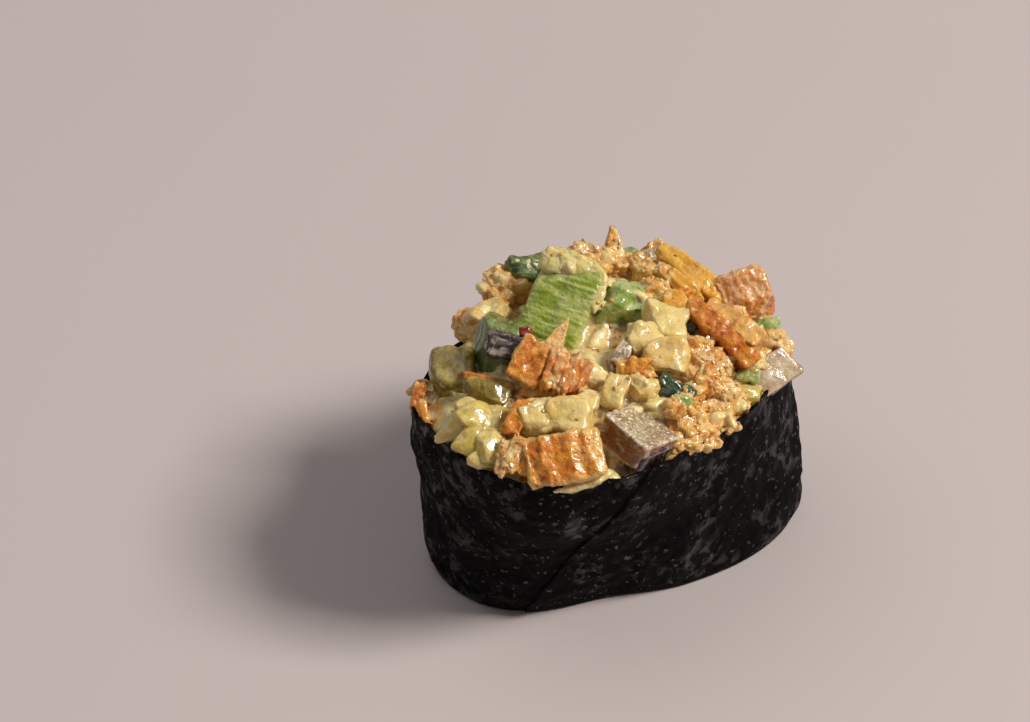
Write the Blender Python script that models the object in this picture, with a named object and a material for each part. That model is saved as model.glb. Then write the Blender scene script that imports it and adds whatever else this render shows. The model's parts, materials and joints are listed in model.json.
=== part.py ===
"""Vegetable gunkan maki: a band of nori round a body of rice, with a heap of dressed vegetables on top.

Tables are in millimetres and degrees, and MM turns them into metres.
+X is the long way, and the rice stands on z = 0.
"""

import math
import random
from typing import NamedTuple

import bmesh
import bpy
from mathutils import Euler, Matrix, Vector, noise

MM = 0.001
GAP = 0.3
FILL_GAP = 0.4
PIECE_MARGIN = 0.35
MITRE_LIMIT = 2.0
ROUGHNESS = 0.5
SMOOTH_ANGLE = 40.0

# Outline of the band, as a rounded oval with a factor at each of eight bearings, 45 degrees apart from +X.
HALF_LENGTH = 29.0
HALF_WIDTH = 20.5
OVAL_POWER = 2.5
RIM_FACTORS = (0.925, 0.985, 0.98, 0.94, 1.01, 1.12, 1.03, 0.955)
BASE_FACTORS = (0.90, 0.94, 0.93, 0.92, 0.925, 0.725, 0.925, 1.03)
RIM_HEIGHTS = (23.8, 27.0, 27.0, 26.5, 30.0, 29.5, 27.5, 27.6)

# Band of nori: one sheet thick, two where its end laps over itself along a slanted seam.
SHEET = 0.5
BAND_FOOT = 0.4
FOOT_ROUND_HEIGHT = 10.0
FOOT_ROUND_INSET = 1.3
SEAM_AT_FOOT = 200.0
SEAM_AT_RIM = 243.0
SEAM_STEP = 0.5
LAP_FADE = 55.0
BAND_COLUMNS = 70
BAND_ROWS = 6

# Rice: a plain body whose underside shows the grains, pressed flat on the plate.
RICE_TOP = 17.0
RICE_GROOVE = 0.7
RICE_LEVELS = (RICE_GROOVE, 3.0, 7.0, 12.0, RICE_TOP)
RICE_COLUMNS = 48
GRAIN_SIZE = (5.8, 2.8, 2.4)
GRAIN_PITCH = (8.8, 4.8)
GRAIN_JITTER = 0.25
GRAIN_TURN = 16.0
FOOT_PATCH = 5.0
FOOT_PATCH_SIDES = 20

# Heap: the core fills the band over the rice and rises into a low dome.
HEAP_RISE = 6.4
HEAP_EDGE_DROP = 0.7
HEAP_POWER = 4.0
HEAP_COLUMNS = 28
HEAP_RINGS = (1.0, 0.94, 0.84, 0.68, 0.48, 0.26, 0.1)
FILLERS = 30
FILLER_SPOTS = 260
FILLER_INSET = 1.5
FILLER_SIZES = (3.0, 5.2)
FILLER_CLEARANCE = 0.2
FILLER_RISE = 0.1
GOLDEN_ANGLE = 137.5
GOLDEN_STEP = 0.618
SEED = 7

# Roughness of the pieces: its fineness on a piece two units across, and the step between two pieces' patterns.
NOISE_SCALE = 1.3
NOISE_STEP = Vector((3.7, 1.3, 2.1))


class Form(NamedTuple):
    """How a piece is cut: grid cells along each axis, corner power, roughness and ridges."""

    cells: tuple[int, int, int]
    power: float
    roughness: float
    ridge: float = 0.0
    ridges: float = 0.0


class Piece(NamedTuple):
    """One piece of the heap: its form, place, size and turn, with a taper and a bend along its own X."""

    form: str
    place: tuple[float, float, float]
    size: tuple[float, float, float]
    turn: tuple[float, float, float]
    taper: float = 0.0
    bend: float = 0.0


FORMS = {
    "block": Form((3, 3, 3), 5.5, 0.07),
    "striped": Form((3, 6, 4), 7.0, 0.04, 0.02, 2.5),
    "lump": Form((3, 3, 3), 3.0, 0.16),
    "plate": Form((7, 5, 2), 6.0, 0.07, 0.16, 2.0),
    "strip": Form((5, 2, 2), 4.0, 0.10),
    "crumb": Form((2, 2, 2), 2.6, 0.24),
    "flake": Form((3, 2, 1), 3.0, 0.10),
    "pebble": Form((2, 2, 1), 2.6, 0.20),
    "grain": Form((2, 2, 1), 2.4, 0.05),
}

PIECES = {
    "green_stalk": Piece("striped", (-1.5, 7.7, 34.2), (9.0, 12.6, 7.0), (39, 9, -62)),
    "green_mint": Piece("lump", (4.8, 2.7, 34.6), (7.2, 7.0, 6.2), (25, -4, -32)),
    "green_skin": Piece("block", (-13.1, 7.7, 32.1), (6.4, 7.6, 6.4), (30, -11, -53)),
    "aubergine_dark": Piece("block", (-14.8, 2.1, 36.3), (7.4, 4.2, 3.2), (41, 5, -46)),
    "tofu_middle": Piece("plate", (-13.1, -3.8, 36.0), (9.4, 6.6, 3.4), (39, 4, -45)),
    "avocado_left": Piece("block", (-20.0, 8.1, 30.0), (6.4, 8.4, 6.6), (24, -17, -47)),
    "avocado_front": Piece("block", (-25.7, -4.2, 30.2), (8.4, 8.6, 6.6), (32, 1, -53)),
    "potato_front": Piece("block", (-17.3, -10.0, 33.8), (9.0, 5.8, 5.6), (36, 2, -43)),
    "tofu_front": Piece("plate", (-21.2, -16.6, 32.9), (10.4, 6.6, 2.6), (44, -10, -34)),
    "aubergine_front": Piece("block", (-9.4, -17.9, 29.1), (8.8, 8.4, 7.6), (18, -4, -7)),
    "potato_middle": Piece("block", (4.0, -6.4, 33.9), (7.2, 7.8, 6.8), (30, 8, -48)),
    "carrot_curve": Piece("strip", (11.4, -10.5, 33.6), (11.0, 4.0, 4.4), (22, 18, -77), 0.0, 30.0),
    "tofu_right": Piece("block", (21.0, -3.8, 31.2), (7.6, 7.6, 6.6), (16, 24, -68)),
    "pepper_strip": Piece("strip", (17.6, 2.4, 33.0), (10.4, 3.4, 4.0), (20, 16, -77), 0.0, 25.0),
    "aubergine_rim": Piece("plate", (15.5, -16.5, 28.5), (6.6, 4.6, 2.6), (40, -17, -3)),
    "tofu_back": Piece("plate", (6.6, 14.2, 32.0), (10.5, 8.0, 3.2), (-50, 0, -14)),
    "potato_back": Piece("block", (-8.0, 15.0, 30.2), (8.0, 6.5, 6.5), (0, 0, 14)),
}

SMALL_PIECES = (
    Piece("flake", (-8.7, -0.4, 37.9), (4.8, 2.2, 0.9), (24, -38, 13), -0.5),
    Piece("crumb", (-20.7, 0.2, 33.7), (6.4, 3.4, 1.8), (30, 6, -50)),
    Piece("crumb", (-27.1, -1.5, 31.9), (5.4, 3.0, 2.4), (30, -22, -7)),
    Piece("crumb", (-25.1, -2.0, 32.8), (4.2, 3.4, 3.0), (12, -29, 26)),
    Piece("crumb", (-23.4, -4.6, 33.1), (4.6, 4.0, 3.4), (30, -7, -28)),
    Piece("crumb", (-28.8, -5.3, 31.5), (5.6, 4.6, 2.6), (35, 24, -70)),
    Piece("strip", (-22.2, -7.6, 34.5), (5.0, 2.8, 2.2), (13, -34, 27)),
    Piece("crumb", (-19.8, -9.3, 34.3), (4.6, 4.4, 3.6), (35, -11, -24)),
    Piece("crumb", (-15.8, -11.3, 34.3), (6.2, 5.2, 4.2), (36, 6, -48)),
    Piece("strip", (-27.1, -11.0, 32.3), (5.2, 2.0, 1.8), (11, -43, 33)),
    Piece("strip", (-25.8, -11.8, 33.1), (5.4, 2.2, 1.8), (22, -39, 18)),
    Piece("strip", (-24.8, -13.4, 32.1), (5.0, 2.6, 1.6), (6, -44, 42)),
    Piece("plate", (-21.0, -18.3, 29.5), (7.0, 2.2, 1.6), (30, -8, -27)),
    Piece("crumb", (-1.6, -18.2, 29.1), (6.0, 5.0, 4.4), (31, 5, -48)),
    Piece("crumb", (2.7, -18.4, 27.9), (6.2, 5.0, 4.4), (28, -14, -15)),
    Piece("crumb", (7.4, -17.9, 27.9), (4.6, 3.6, 3.6), (27, -16, -11)),
    Piece("crumb", (-3.7, -19.8, 27.9), (5.2, 3.4, 3.2), (30, -10, -24)),
    Piece("crumb", (0.3, -19.8, 27.0), (4.4, 3.4, 3.0), (28, -14, -15)),
    Piece("crumb", (4.9, -19.2, 26.9), (4.2, 3.2, 3.0), (27, -16, -11)),
    Piece("flake", (-0.5, -16.3, 33.6), (5.0, 2.6, 1.0), (30, 7, -51)),
    Piece("crumb", (10.0, 1.5, 34.6), (4.2, 3.6, 3.4), (31, 0, -40)),
    Piece("crumb", (12.7, 6.3, 33.9), (4.2, 3.4, 3.2), (31, -5, -32)),
    Piece("crumb", (12.4, -1.3, 34.3), (4.4, 3.6, 3.0), (17, -26, 14)),
    Piece("crumb", (5.6, -13.3, 32.4), (6.4, 6.0, 4.8), (30, -10, -24)),
    Piece("crumb", (6.3, -10.4, 33.4), (4.6, 4.4, 3.8), (17, -26, 14)),
    Piece("crumb", (5.2, -16.5, 30.8), (6.0, 4.6, 3.6), (28, 14, -65)),
    Piece("strip", (-9.1, -12.2, 34.8), (5.2, 3.2, 2.6), (13, -34, 27)),
    Piece("strip", (-3.1, -6.9, 35.5), (4.4, 2.2, 1.6), (19, -31, 16)),
    Piece("crumb", (-3.5, -10.1, 34.6), (5.6, 3.2, 3.0), (31, 2, -43)),
    Piece("crumb", (-4.4, -13.0, 33.5), (5.0, 3.6, 3.0), (30, 10, -56)),
    Piece("crumb", (-10.3, 16.8, 30.3), (4.4, 5.0, 4.0), (10, -24, 26)),
    Piece("crumb", (-5.0, 17.4, 32.2), (5.0, 4.2, 4.0), (26, 0, -40)),
    Piece("crumb", (-0.7, 17.1, 36.4), (6.0, 3.0, 3.0), (25, 3, -47)),
    Piece("crumb", (-2.6, 17.7, 32.4), (7.4, 6.4, 5.6), (25, -4, -32)),
    Piece("crumb", (-2.2, 17.4, 28.8), (4.6, 4.0, 3.6), (14, -21, 15)),
    Piece("crumb", (11.9, 15.8, 30.9), (5.4, 4.2, 3.8), (26, 0, -40)),
    Piece("crumb", (9.4, 16.3, 33.1), (4.4, 3.0, 3.0), (25, 4, -48)),
    Piece("crumb", (11.4, 10.3, 33.3), (4.6, 3.6, 3.4), (24, -8, -23)),
    Piece("flake", (11.5, 12.4, 35.9), (5.0, 2.0, 0.9), (-6, -46, 59)),
    Piece("crumb", (17.4, -12.7, 29.9), (5.2, 4.0, 3.6), (31, -5, -32)),
    Piece("crumb", (-1.2, 0.2, 33.6), (4.4, 4.0, 3.0), (17, -26, 14)),
    Piece("crumb", (-8.6, -6.6, 34.1), (5.0, 4.0, 3.4), (30, 10, -56)),
    Piece("crumb", (-3.7, -15.3, 31.8), (6.0, 3.6, 3.0), (31, -5, -32)),
)

COLOURS = {
    "nori_wrap": (0.008, 0.008, 0.006),
    "rice": (0.78, 0.76, 0.68),
    "topping": (0.62, 0.44, 0.16),
    "green": (0.24, 0.30, 0.06),
    "aubergine": (0.30, 0.23, 0.16),
    "avocado": (0.55, 0.50, 0.16),
    "potato": (0.66, 0.52, 0.22),
    "tofu": (0.55, 0.20, 0.03),
    "carrot": (0.50, 0.16, 0.02),
    "pepper": (0.60, 0.30, 0.05),
}


def around(values, bearing):
    """Value at a bearing in radians, on a smooth closed curve through evenly spaced values."""
    count = len(values)
    place = bearing / (2 * math.pi) * count % count
    index = int(place)
    part = place - index
    before, here, after, beyond = (values[(index + step) % count] for step in (-1, 0, 1, 2))
    slope_here = (after - before) / 2
    slope_after = (beyond - here) / 2
    rise = after - here
    return (
        here
        + slope_here * part
        + (3 * rise - 2 * slope_here - slope_after) * part**2
        + (slope_here + slope_after - 2 * rise) * part**3
    )


def oval_radius(bearing):
    """Radius of the plain oval at a bearing."""
    across = abs(math.cos(bearing) / HALF_LENGTH) ** OVAL_POWER
    along = abs(math.sin(bearing) / HALF_WIDTH) ** OVAL_POWER
    return (across + along) ** (-1 / OVAL_POWER)


def rim_height(bearing):
    """Height of the band's upper edge at a bearing."""
    return around(RIM_HEIGHTS, bearing)


def wall_radius(bearing, height):
    """Radius of the band's outer face, without its lap, at a bearing and a height."""
    part = min(max(height / rim_height(bearing), 0.0), 1.0)
    blend = part * part * (3 - 2 * part)
    factor = around(BASE_FACTORS, bearing) * (1 - blend) + around(RIM_FACTORS, bearing) * blend
    low = min(max(1 - height / FOOT_ROUND_HEIGHT, 0.0), 1.0)
    return oval_radius(bearing) * factor - FOOT_ROUND_INSET * (1 - math.sqrt(1 - low * low))


def polar(radius, bearing, height):
    """Point in metres from a radius, a bearing and a height in millimetres."""
    return Vector((radius * math.cos(bearing), radius * math.sin(bearing), height)) * MM


def add_object(name, mesh_data):
    """Put a bmesh in the scene as a named object, in triangles that face out."""
    bmesh.ops.recalc_face_normals(mesh_data, faces=mesh_data.faces)
    bmesh.ops.triangulate(mesh_data, faces=mesh_data.faces)
    mesh = bpy.data.meshes.new(name)
    mesh_data.to_mesh(mesh)
    mesh_data.free()
    solid = bpy.data.objects.new(name, mesh)
    bpy.context.scene.collection.objects.link(solid)
    return solid


def loft(name, rings, closed):
    """Skin a list of rings of points. Open lofts get a fan of triangles at each end."""
    mesh_data = bmesh.new()
    loops = [[mesh_data.verts.new(point) for point in ring] for ring in rings]
    pairs = list(zip(loops, loops[1:]))
    if closed:
        pairs.append((loops[-1], loops[0]))
    for lower, upper in pairs:
        for index in range(len(lower)):
            after = (index + 1) % len(lower)
            mesh_data.faces.new((lower[index], lower[after], upper[after], upper[index]))
    if not closed:
        for loop in (loops[0], loops[-1]):
            middle = mesh_data.verts.new(sum((vertex.co for vertex in loop), Vector()) / len(loop))
            for index, vertex in enumerate(loop):
                mesh_data.faces.new((vertex, loop[(index + 1) % len(loop)], middle))
    return add_object(name, mesh_data)


def remove_object(solid):
    """Take a helper object and its mesh out of the file."""
    mesh = solid.data
    bpy.data.objects.remove(solid)
    bpy.data.meshes.remove(mesh)


def keep_largest(solid):
    """Drop every loose scrap, so that one closed body is left."""
    mesh_data = bmesh.new()
    mesh_data.from_mesh(solid.data)
    unseen = set(mesh_data.verts)
    bodies = []
    while unseen:
        body = set()
        edge_of_body = [unseen.pop()]
        while edge_of_body:
            vertex = edge_of_body.pop()
            body.add(vertex)
            for edge in vertex.link_edges:
                other = edge.other_vert(vertex)
                if other in unseen:
                    unseen.remove(other)
                    edge_of_body.append(other)
        bodies.append(body)
    bodies.sort(key=len)
    for body in bodies[:-1]:
        bmesh.ops.delete(mesh_data, geom=list(body), context="VERTS")
    mesh_data.to_mesh(solid.data)
    mesh_data.free()


def apply_boolean(solid, others, operation):
    """Cut the others from the solid, or join them to it, and apply the result."""
    group = bpy.data.collections.new("tools")
    for other in others:
        group.objects.link(other)
    tool = solid.modifiers.new("Boolean", "BOOLEAN")
    tool.operand_type = "COLLECTION"
    tool.collection = group
    tool.operation = operation
    tool.solver = "EXACT"
    evaluated = solid.evaluated_get(bpy.context.evaluated_depsgraph_get())
    result = bpy.data.meshes.new_from_object(evaluated)
    solid.modifiers.clear()
    before = solid.data
    solid.data = result
    bpy.data.meshes.remove(before)
    bpy.data.collections.remove(group)
    keep_largest(solid)


def swollen(solid, margin):
    """Copy of a solid whose faces stand out by a margin in millimetres."""
    mesh_data = bmesh.new()
    mesh_data.from_mesh(solid.data)
    mesh_data.normal_update()
    reaches = [min(vertex.calc_shell_factor(), MITRE_LIMIT) * margin * MM for vertex in mesh_data.verts]
    moves = [vertex.normal * reach for vertex, reach in zip(mesh_data.verts, reaches)]
    for vertex, move in zip(mesh_data.verts, moves):
        vertex.co += move
    return add_object("room_" + solid.name, mesh_data)


def boxes_meet(first, second):
    """Whether the boxes of two solids overlap."""
    for axis in range(3):
        first_values = [vertex.co[axis] for vertex in first.data.vertices]
        second_values = [vertex.co[axis] for vertex in second.data.vertices]
        if max(first_values) < min(second_values) or max(second_values) < min(first_values):
            return False
    return True


def bent(point, piece):
    """Point of a piece after its own X axis is bent into an arc."""
    if not piece.bend:
        return point
    radius = piece.size[0] / math.radians(piece.bend)
    angle = point.x / radius
    reach = radius + point.z
    return Vector((reach * math.sin(angle), point.y, reach * math.cos(angle) - radius))


def shape_piece(name, piece, seed):
    """Form a piece from a gridded cube: round its corners, roughen it, then taper, bend, turn and place it."""
    form = FORMS[piece.form]
    mesh_data = bmesh.new()
    bmesh.ops.create_cube(mesh_data, size=2.0)
    for axis in range(3):
        normal = Vector((0, 0, 0))
        normal[axis] = 1.0
        for cut in range(1, form.cells[axis]):
            offset = normal * (2 * cut / form.cells[axis] - 1)
            geometry = mesh_data.verts[:] + mesh_data.edges[:] + mesh_data.faces[:]
            bmesh.ops.bisect_plane(mesh_data, geom=geometry, dist=1e-6, plane_co=offset, plane_no=normal)
    half = Vector(piece.size) * 0.5
    shift = NOISE_STEP * seed
    turn = Matrix.Translation(Vector(piece.place)) @ Euler(map(math.radians, piece.turn)).to_matrix().to_4x4()
    for vertex in mesh_data.verts:
        spot = vertex.co.copy()
        reach = sum(abs(value) ** form.power for value in spot) ** (1 / form.power)
        grown = 1 + form.roughness * 2 * noise.noise(spot * NOISE_SCALE + shift)
        wave = form.ridge * math.sin(math.pi * form.ridges * spot.x)
        point = spot / reach * grown
        point.z += wave * abs(spot.z)
        width = 1 + piece.taper * point.x
        point = bent(Vector((point.x * half.x, point.y * half.y * width, point.z * half.z * width)), piece)
        vertex.co = turn @ point * MM
    return add_object(name, mesh_data)


def lap_offset(bearing, part):
    """How far the lapping end stands out: a full sheet at the seam, fading away from it."""
    seam = SEAM_AT_FOOT + (SEAM_AT_RIM - SEAM_AT_FOOT) * part
    beyond = math.degrees(bearing) - seam
    return SHEET * max(0.0, 1 - beyond / LAP_FADE) if beyond >= 0 else 0.0


def band_bearings(part):
    """Bearings of the band's columns at one height. Two lie close together, on the seam's two sides."""
    seam = math.radians(SEAM_AT_FOOT + (SEAM_AT_RIM - SEAM_AT_FOOT) * part)
    step = math.radians(SEAM_STEP)
    spread = (2 * math.pi - step) / (BAND_COLUMNS - 1)
    return [seam - step] + [seam + spread * index for index in range(BAND_COLUMNS - 1)]


def make_band(name, inner_margin, outer_margin, top_margin):
    """Closed band between two faces of the wall, each moved by a margin."""
    outer = []
    inner = []
    for row in range(BAND_ROWS + 1):
        part = row / BAND_ROWS
        outer_ring = []
        inner_ring = []
        for index, bearing in enumerate(band_bearings(part)):
            top = rim_height(bearing) + top_margin
            height = BAND_FOOT + (top - BAND_FOOT) * part
            radius = wall_radius(bearing, height)
            lap = 0.0 if index == 0 else lap_offset(bearing, part)
            outer_ring.append(polar(radius + lap + outer_margin, bearing, height))
            inner_ring.append(polar(radius - SHEET - inner_margin, bearing, height))
        outer.append(outer_ring)
        inner.append(inner_ring)
    return loft(name, outer + inner[::-1], closed=True)


def inner_radius(bearing, height):
    """Radius that whatever fills the band keeps to."""
    return wall_radius(bearing, height) - SHEET - FILL_GAP


def make_rice():
    """Rice body, with flat-pressed grains joined to its underside."""
    bearings = [2 * math.pi * index / RICE_COLUMNS for index in range(RICE_COLUMNS)]
    rings = [
        [polar(inner_radius(bearing, height), bearing, height) for bearing in bearings]
        for height in RICE_LEVELS
    ]
    rice = loft("rice", rings, closed=False)
    chance = random.Random(SEED)
    grains = [make_foot_patch()]
    columns = int(HALF_LENGTH / GRAIN_PITCH[0]) + 1
    rows = int(HALF_WIDTH / GRAIN_PITCH[1]) + 1
    for row in range(-rows, rows + 1):
        for column in range(-columns, columns + 1):
            x = (column + 0.5 * (row % 2)) * GRAIN_PITCH[0] + chance.uniform(-GRAIN_JITTER, GRAIN_JITTER)
            y = row * GRAIN_PITCH[1] + chance.uniform(-GRAIN_JITTER, GRAIN_JITTER)
            turn = chance.uniform(-GRAIN_TURN, GRAIN_TURN)
            reach = inner_radius(math.atan2(y, x) % (2 * math.pi), RICE_GROOVE) - GRAIN_SIZE[0] / 2 - GAP
            distance = math.hypot(x, y)
            if distance > reach or distance < FOOT_PATCH + GRAIN_SIZE[0] / 2:
                continue
            grain = Piece("grain", (x, y, RICE_GROOVE), GRAIN_SIZE, (0, 0, turn))
            grains.append(shape_piece(f"grain_{len(grains)}", grain, len(grains)))
    apply_boolean(rice, grains, "UNION")
    for grain in grains:
        remove_object(grain)
    press_flat(rice)
    return rice


def make_foot_patch():
    """Flat round patch in the middle of the underside, where the grains are pressed together."""
    mesh_data = bmesh.new()
    place = Matrix.Translation((0, 0, RICE_GROOVE * MM))
    bmesh.ops.create_cone(
        mesh_data,
        cap_ends=True,
        segments=FOOT_PATCH_SIDES,
        radius1=FOOT_PATCH * MM,
        radius2=FOOT_PATCH * MM,
        depth=3 * RICE_GROOVE * MM,
        matrix=place,
    )
    return add_object("foot_patch", mesh_data)


def press_flat(solid):
    """Cut a solid off flat at z = 0, with a slab that lies below it."""
    mesh_data = bmesh.new()
    reach = 2 * HALF_LENGTH * MM
    bmesh.ops.create_cube(mesh_data, size=2 * reach, matrix=Matrix.Translation((0, 0, -reach)))
    below = add_object("below", mesh_data)
    apply_boolean(solid, [below], "DIFFERENCE")
    remove_object(below)


def heap_height(bearing, part):
    """Height of the core's upper face at a bearing and a part of the way out to the wall."""
    edge = rim_height(bearing) - HEAP_EDGE_DROP
    middle = sum(RIM_HEIGHTS) / len(RIM_HEIGHTS) + HEAP_RISE
    return edge + (middle - edge) * (1 - part**HEAP_POWER)


def make_heap_core():
    """Core that fills the band over the rice, up to a low dome."""
    bearings = [2 * math.pi * index / HEAP_COLUMNS for index in range(HEAP_COLUMNS)]
    foot = RICE_TOP + GAP
    rings = []
    for part in (0.0, 0.5):
        ring = []
        for bearing in bearings:
            height = foot + (heap_height(bearing, 1.0) - foot) * part
            ring.append(polar(inner_radius(bearing, height), bearing, height))
        rings.append(ring)
    for part in HEAP_RINGS:
        ring = []
        for bearing in bearings:
            height = heap_height(bearing, part)
            ring.append(polar(inner_radius(bearing, heap_height(bearing, 1.0)) * part, bearing, height))
        rings.append(ring)
    return loft("topping", rings, closed=False)


def filler_pieces():
    """Crumbs spread over the dome on a spiral, clear of the pieces that have places of their own."""
    chance = random.Random(SEED)
    taken = [(Vector(piece.place), max(piece.size) / 2) for piece in (*PIECES.values(), *SMALL_PIECES)]
    fillers = []
    for index in range(FILLER_SPOTS):
        part = math.sqrt(index * GOLDEN_STEP % 1.0)
        bearing = math.radians(index * GOLDEN_ANGLE) % (2 * math.pi)
        height = heap_height(bearing, part)
        radius = (inner_radius(bearing, rim_height(bearing)) - FILLER_INSET) * part
        size = chance.uniform(*FILLER_SIZES)
        place = Vector((radius * math.cos(bearing), radius * math.sin(bearing), height + FILLER_RISE * size))
        turn = tuple(chance.uniform(0, 180) for _ in range(3))
        if any((place - other).length < reach + FILLER_CLEARANCE * size for other, reach in taken):
            continue
        dimensions = (size * 1.2, size, size * 0.8)
        fillers.append(Piece("pebble", tuple(place), dimensions, turn))
        taken.append((place, size / 2))
        if len(fillers) == FILLERS:
            break
    return fillers


def make_pieces(band_room):
    """The large pieces, each cut clear of the band and of the pieces before it. Returns them by name."""
    solids = {}
    rooms = []
    for seed, (name, piece) in enumerate(PIECES.items(), start=1):
        solid = shape_piece(name, piece, seed)
        room = swollen(solid, PIECE_MARGIN)
        near = [other for other in (*rooms, band_room) if boxes_meet(solid, other)]
        if near:
            apply_boolean(solid, near, "DIFFERENCE")
        solids[name] = solid
        rooms.append(room)
    return solids, rooms


def make_heap(rooms, band_room):
    """Core with the small pieces joined on, cut clear of the large pieces and the band."""
    core = make_heap_core()
    small = [
        shape_piece(f"small_{index}", piece, index)
        for index, piece in enumerate((*SMALL_PIECES, *filler_pieces()), start=len(PIECES) + 1)
    ]
    apply_boolean(core, small, "UNION")
    for piece in small:
        remove_object(piece)
    apply_boolean(core, [*rooms, band_room], "DIFFERENCE")
    return core


def finish_surface(solid):
    """Give a solid its colour, and round shading between its edges."""
    name = solid.name if solid.name in COLOURS else solid.name.split("_")[0]
    material = bpy.data.materials.get(name) or bpy.data.materials.new(name)
    material.use_nodes = True
    shader = material.node_tree.nodes["Principled BSDF"]
    shader.inputs["Base Color"].default_value = (*COLOURS[name], 1.0)
    shader.inputs["Roughness"].default_value = ROUGHNESS
    shader.inputs["Metallic"].default_value = 0.0
    solid.data.materials.clear()
    solid.data.materials.append(material)
    solid.data.shade_smooth()
    solid.data.set_sharp_from_angle(angle=math.radians(SMOOTH_ANGLE))


def centre_on_origin(solids):
    """Move every solid sideways, so that the whole stands centred on the origin."""
    points = [vertex.co for solid in solids for vertex in solid.data.vertices]
    middle = Vector()
    for axis in (0, 1):
        values = [point[axis] for point in points]
        middle[axis] = (min(values) + max(values)) / 2
    for solid in solids:
        solid.data.transform(Matrix.Translation(-middle))


def main():
    """Build the whole part."""
    for old in list(bpy.data.objects):
        bpy.data.objects.remove(old)
    band = make_band("nori_wrap", 0.0, 0.0, 0.0)
    band_room = make_band("band_room", GAP, GAP, GAP)
    pieces, rooms = make_pieces(band_room)
    heap = make_heap(rooms, band_room)
    for helper in (*rooms, band_room):
        remove_object(helper)
    rice = make_rice()
    solids = [band, rice, heap, *pieces.values()]
    centre_on_origin(solids)
    for solid in solids:
        finish_surface(solid)


main()
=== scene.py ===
"""Looks of a vegetable gunkan maki: a nori band round rice, with a heap of vegetables and fried tofu.

Tables are in millimetres and degrees, in the drawing's own position. DRAWING_SHIFT and MM bring them
into the frame, where +X is the long way and the rice stands on z = 0.
"""

import json
import logging
import math
import random
from dataclasses import dataclass, field
from enum import Enum

import bmesh
import bpy
import numpy as np
from mathutils import Euler, Matrix, Vector, noise
from mathutils.kdtree import KDTree

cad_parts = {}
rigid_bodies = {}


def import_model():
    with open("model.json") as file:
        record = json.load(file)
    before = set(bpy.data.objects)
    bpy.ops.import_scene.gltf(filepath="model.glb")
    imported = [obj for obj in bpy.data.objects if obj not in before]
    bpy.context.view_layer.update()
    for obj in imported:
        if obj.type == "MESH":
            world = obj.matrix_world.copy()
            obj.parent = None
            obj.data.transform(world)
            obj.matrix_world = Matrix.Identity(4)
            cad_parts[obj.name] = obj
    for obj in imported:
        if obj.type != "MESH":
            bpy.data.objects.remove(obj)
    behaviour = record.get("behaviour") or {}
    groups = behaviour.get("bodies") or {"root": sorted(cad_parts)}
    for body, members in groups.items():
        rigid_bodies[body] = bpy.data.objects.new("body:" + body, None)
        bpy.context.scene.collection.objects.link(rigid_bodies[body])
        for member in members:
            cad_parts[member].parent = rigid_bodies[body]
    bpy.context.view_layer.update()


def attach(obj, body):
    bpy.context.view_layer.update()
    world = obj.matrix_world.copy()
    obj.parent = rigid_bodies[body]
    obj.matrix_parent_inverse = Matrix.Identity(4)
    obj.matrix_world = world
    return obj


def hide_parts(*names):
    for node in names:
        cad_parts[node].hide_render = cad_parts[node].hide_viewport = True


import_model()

MM = 0.001
DRAWING_SHIFT = np.array((2.265, 0.789, 0.0))
BODY = "root"
LOG = logging.getLogger("gunkan")

NOISE_GAIN = 1.6
SEED_SHIFT = np.array((3.7, 1.3, 2.1))

Colour = tuple[float, float, float, float]
Triple = tuple[float, float, float]
Inputs = dict[str | int, object]


def tone(red: int, green: int, blue: int) -> Colour:
    """Linear colour of a display colour given in steps of 255."""
    parts = [value / 255 for value in (red, green, blue)]
    linear = [part / 12.92 if part <= 0.04045 else ((part + 0.055) / 1.055) ** 2.4 for part in parts]
    return (*linear, 1.0)


def ease(values: np.ndarray, low: float, high: float) -> np.ndarray:
    """Smooth step of values, 0 at low and 1 at high."""
    part = np.clip((values - low) / (high - low), 0.0, 1.0)
    return part * part * (3 - 2 * part)


def ring_points(radius: np.ndarray, bearing: np.ndarray, height: np.ndarray) -> np.ndarray:
    """Points at a radius, a bearing in radians and a height."""
    return np.stack((radius * np.cos(bearing), radius * np.sin(bearing), height), -1)


def full_turn(count: int) -> np.ndarray:
    """Evenly spaced bearings round one turn, in radians."""
    return np.linspace(0, 2 * math.pi, count, endpoint=False)


def turn_matrix(turn: Triple) -> np.ndarray:
    """Rotation matrix of a turn in degrees."""
    return np.array(Euler([math.radians(angle) for angle in turn]).to_matrix())


def towards(azimuth: float, elevation: float) -> Vector:
    """Unit vector from the food to a viewer or a lamp, with azimuth 0 in front of it, at -Y."""
    turn, rise = math.radians(azimuth), math.radians(elevation)
    return Vector((math.sin(turn) * math.cos(rise), -math.cos(turn) * math.cos(rise), math.sin(rise)))


def new_object(name: str, data: bpy.types.ID) -> bpy.types.Object:
    """Object of some data, put in the scene."""
    made = bpy.data.objects.new(name, data)
    bpy.context.scene.collection.objects.link(made)
    return made


def shifted(points: np.ndarray, size: float, seed: float) -> list[list[float]]:
    """Places in a noise pattern, for points in millimetres, waves of a size and a shift by a seed."""
    return (points / size + seed * SEED_SHIFT).tolist()


def noise_at(points: np.ndarray, size: float, seed: float = 0.0) -> np.ndarray:
    """Smooth noise in about -1 to 1.

    Args:
        points: Places, one row each, in millimetres.
        size: Width of one wave, in the same unit.
        seed: Shift of the pattern.

    Returns:
        One value a point.
    """
    spots = shifted(points, size, seed)
    return np.fromiter((noise.noise(spot) for spot in spots), float, len(spots)) * NOISE_GAIN


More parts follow.
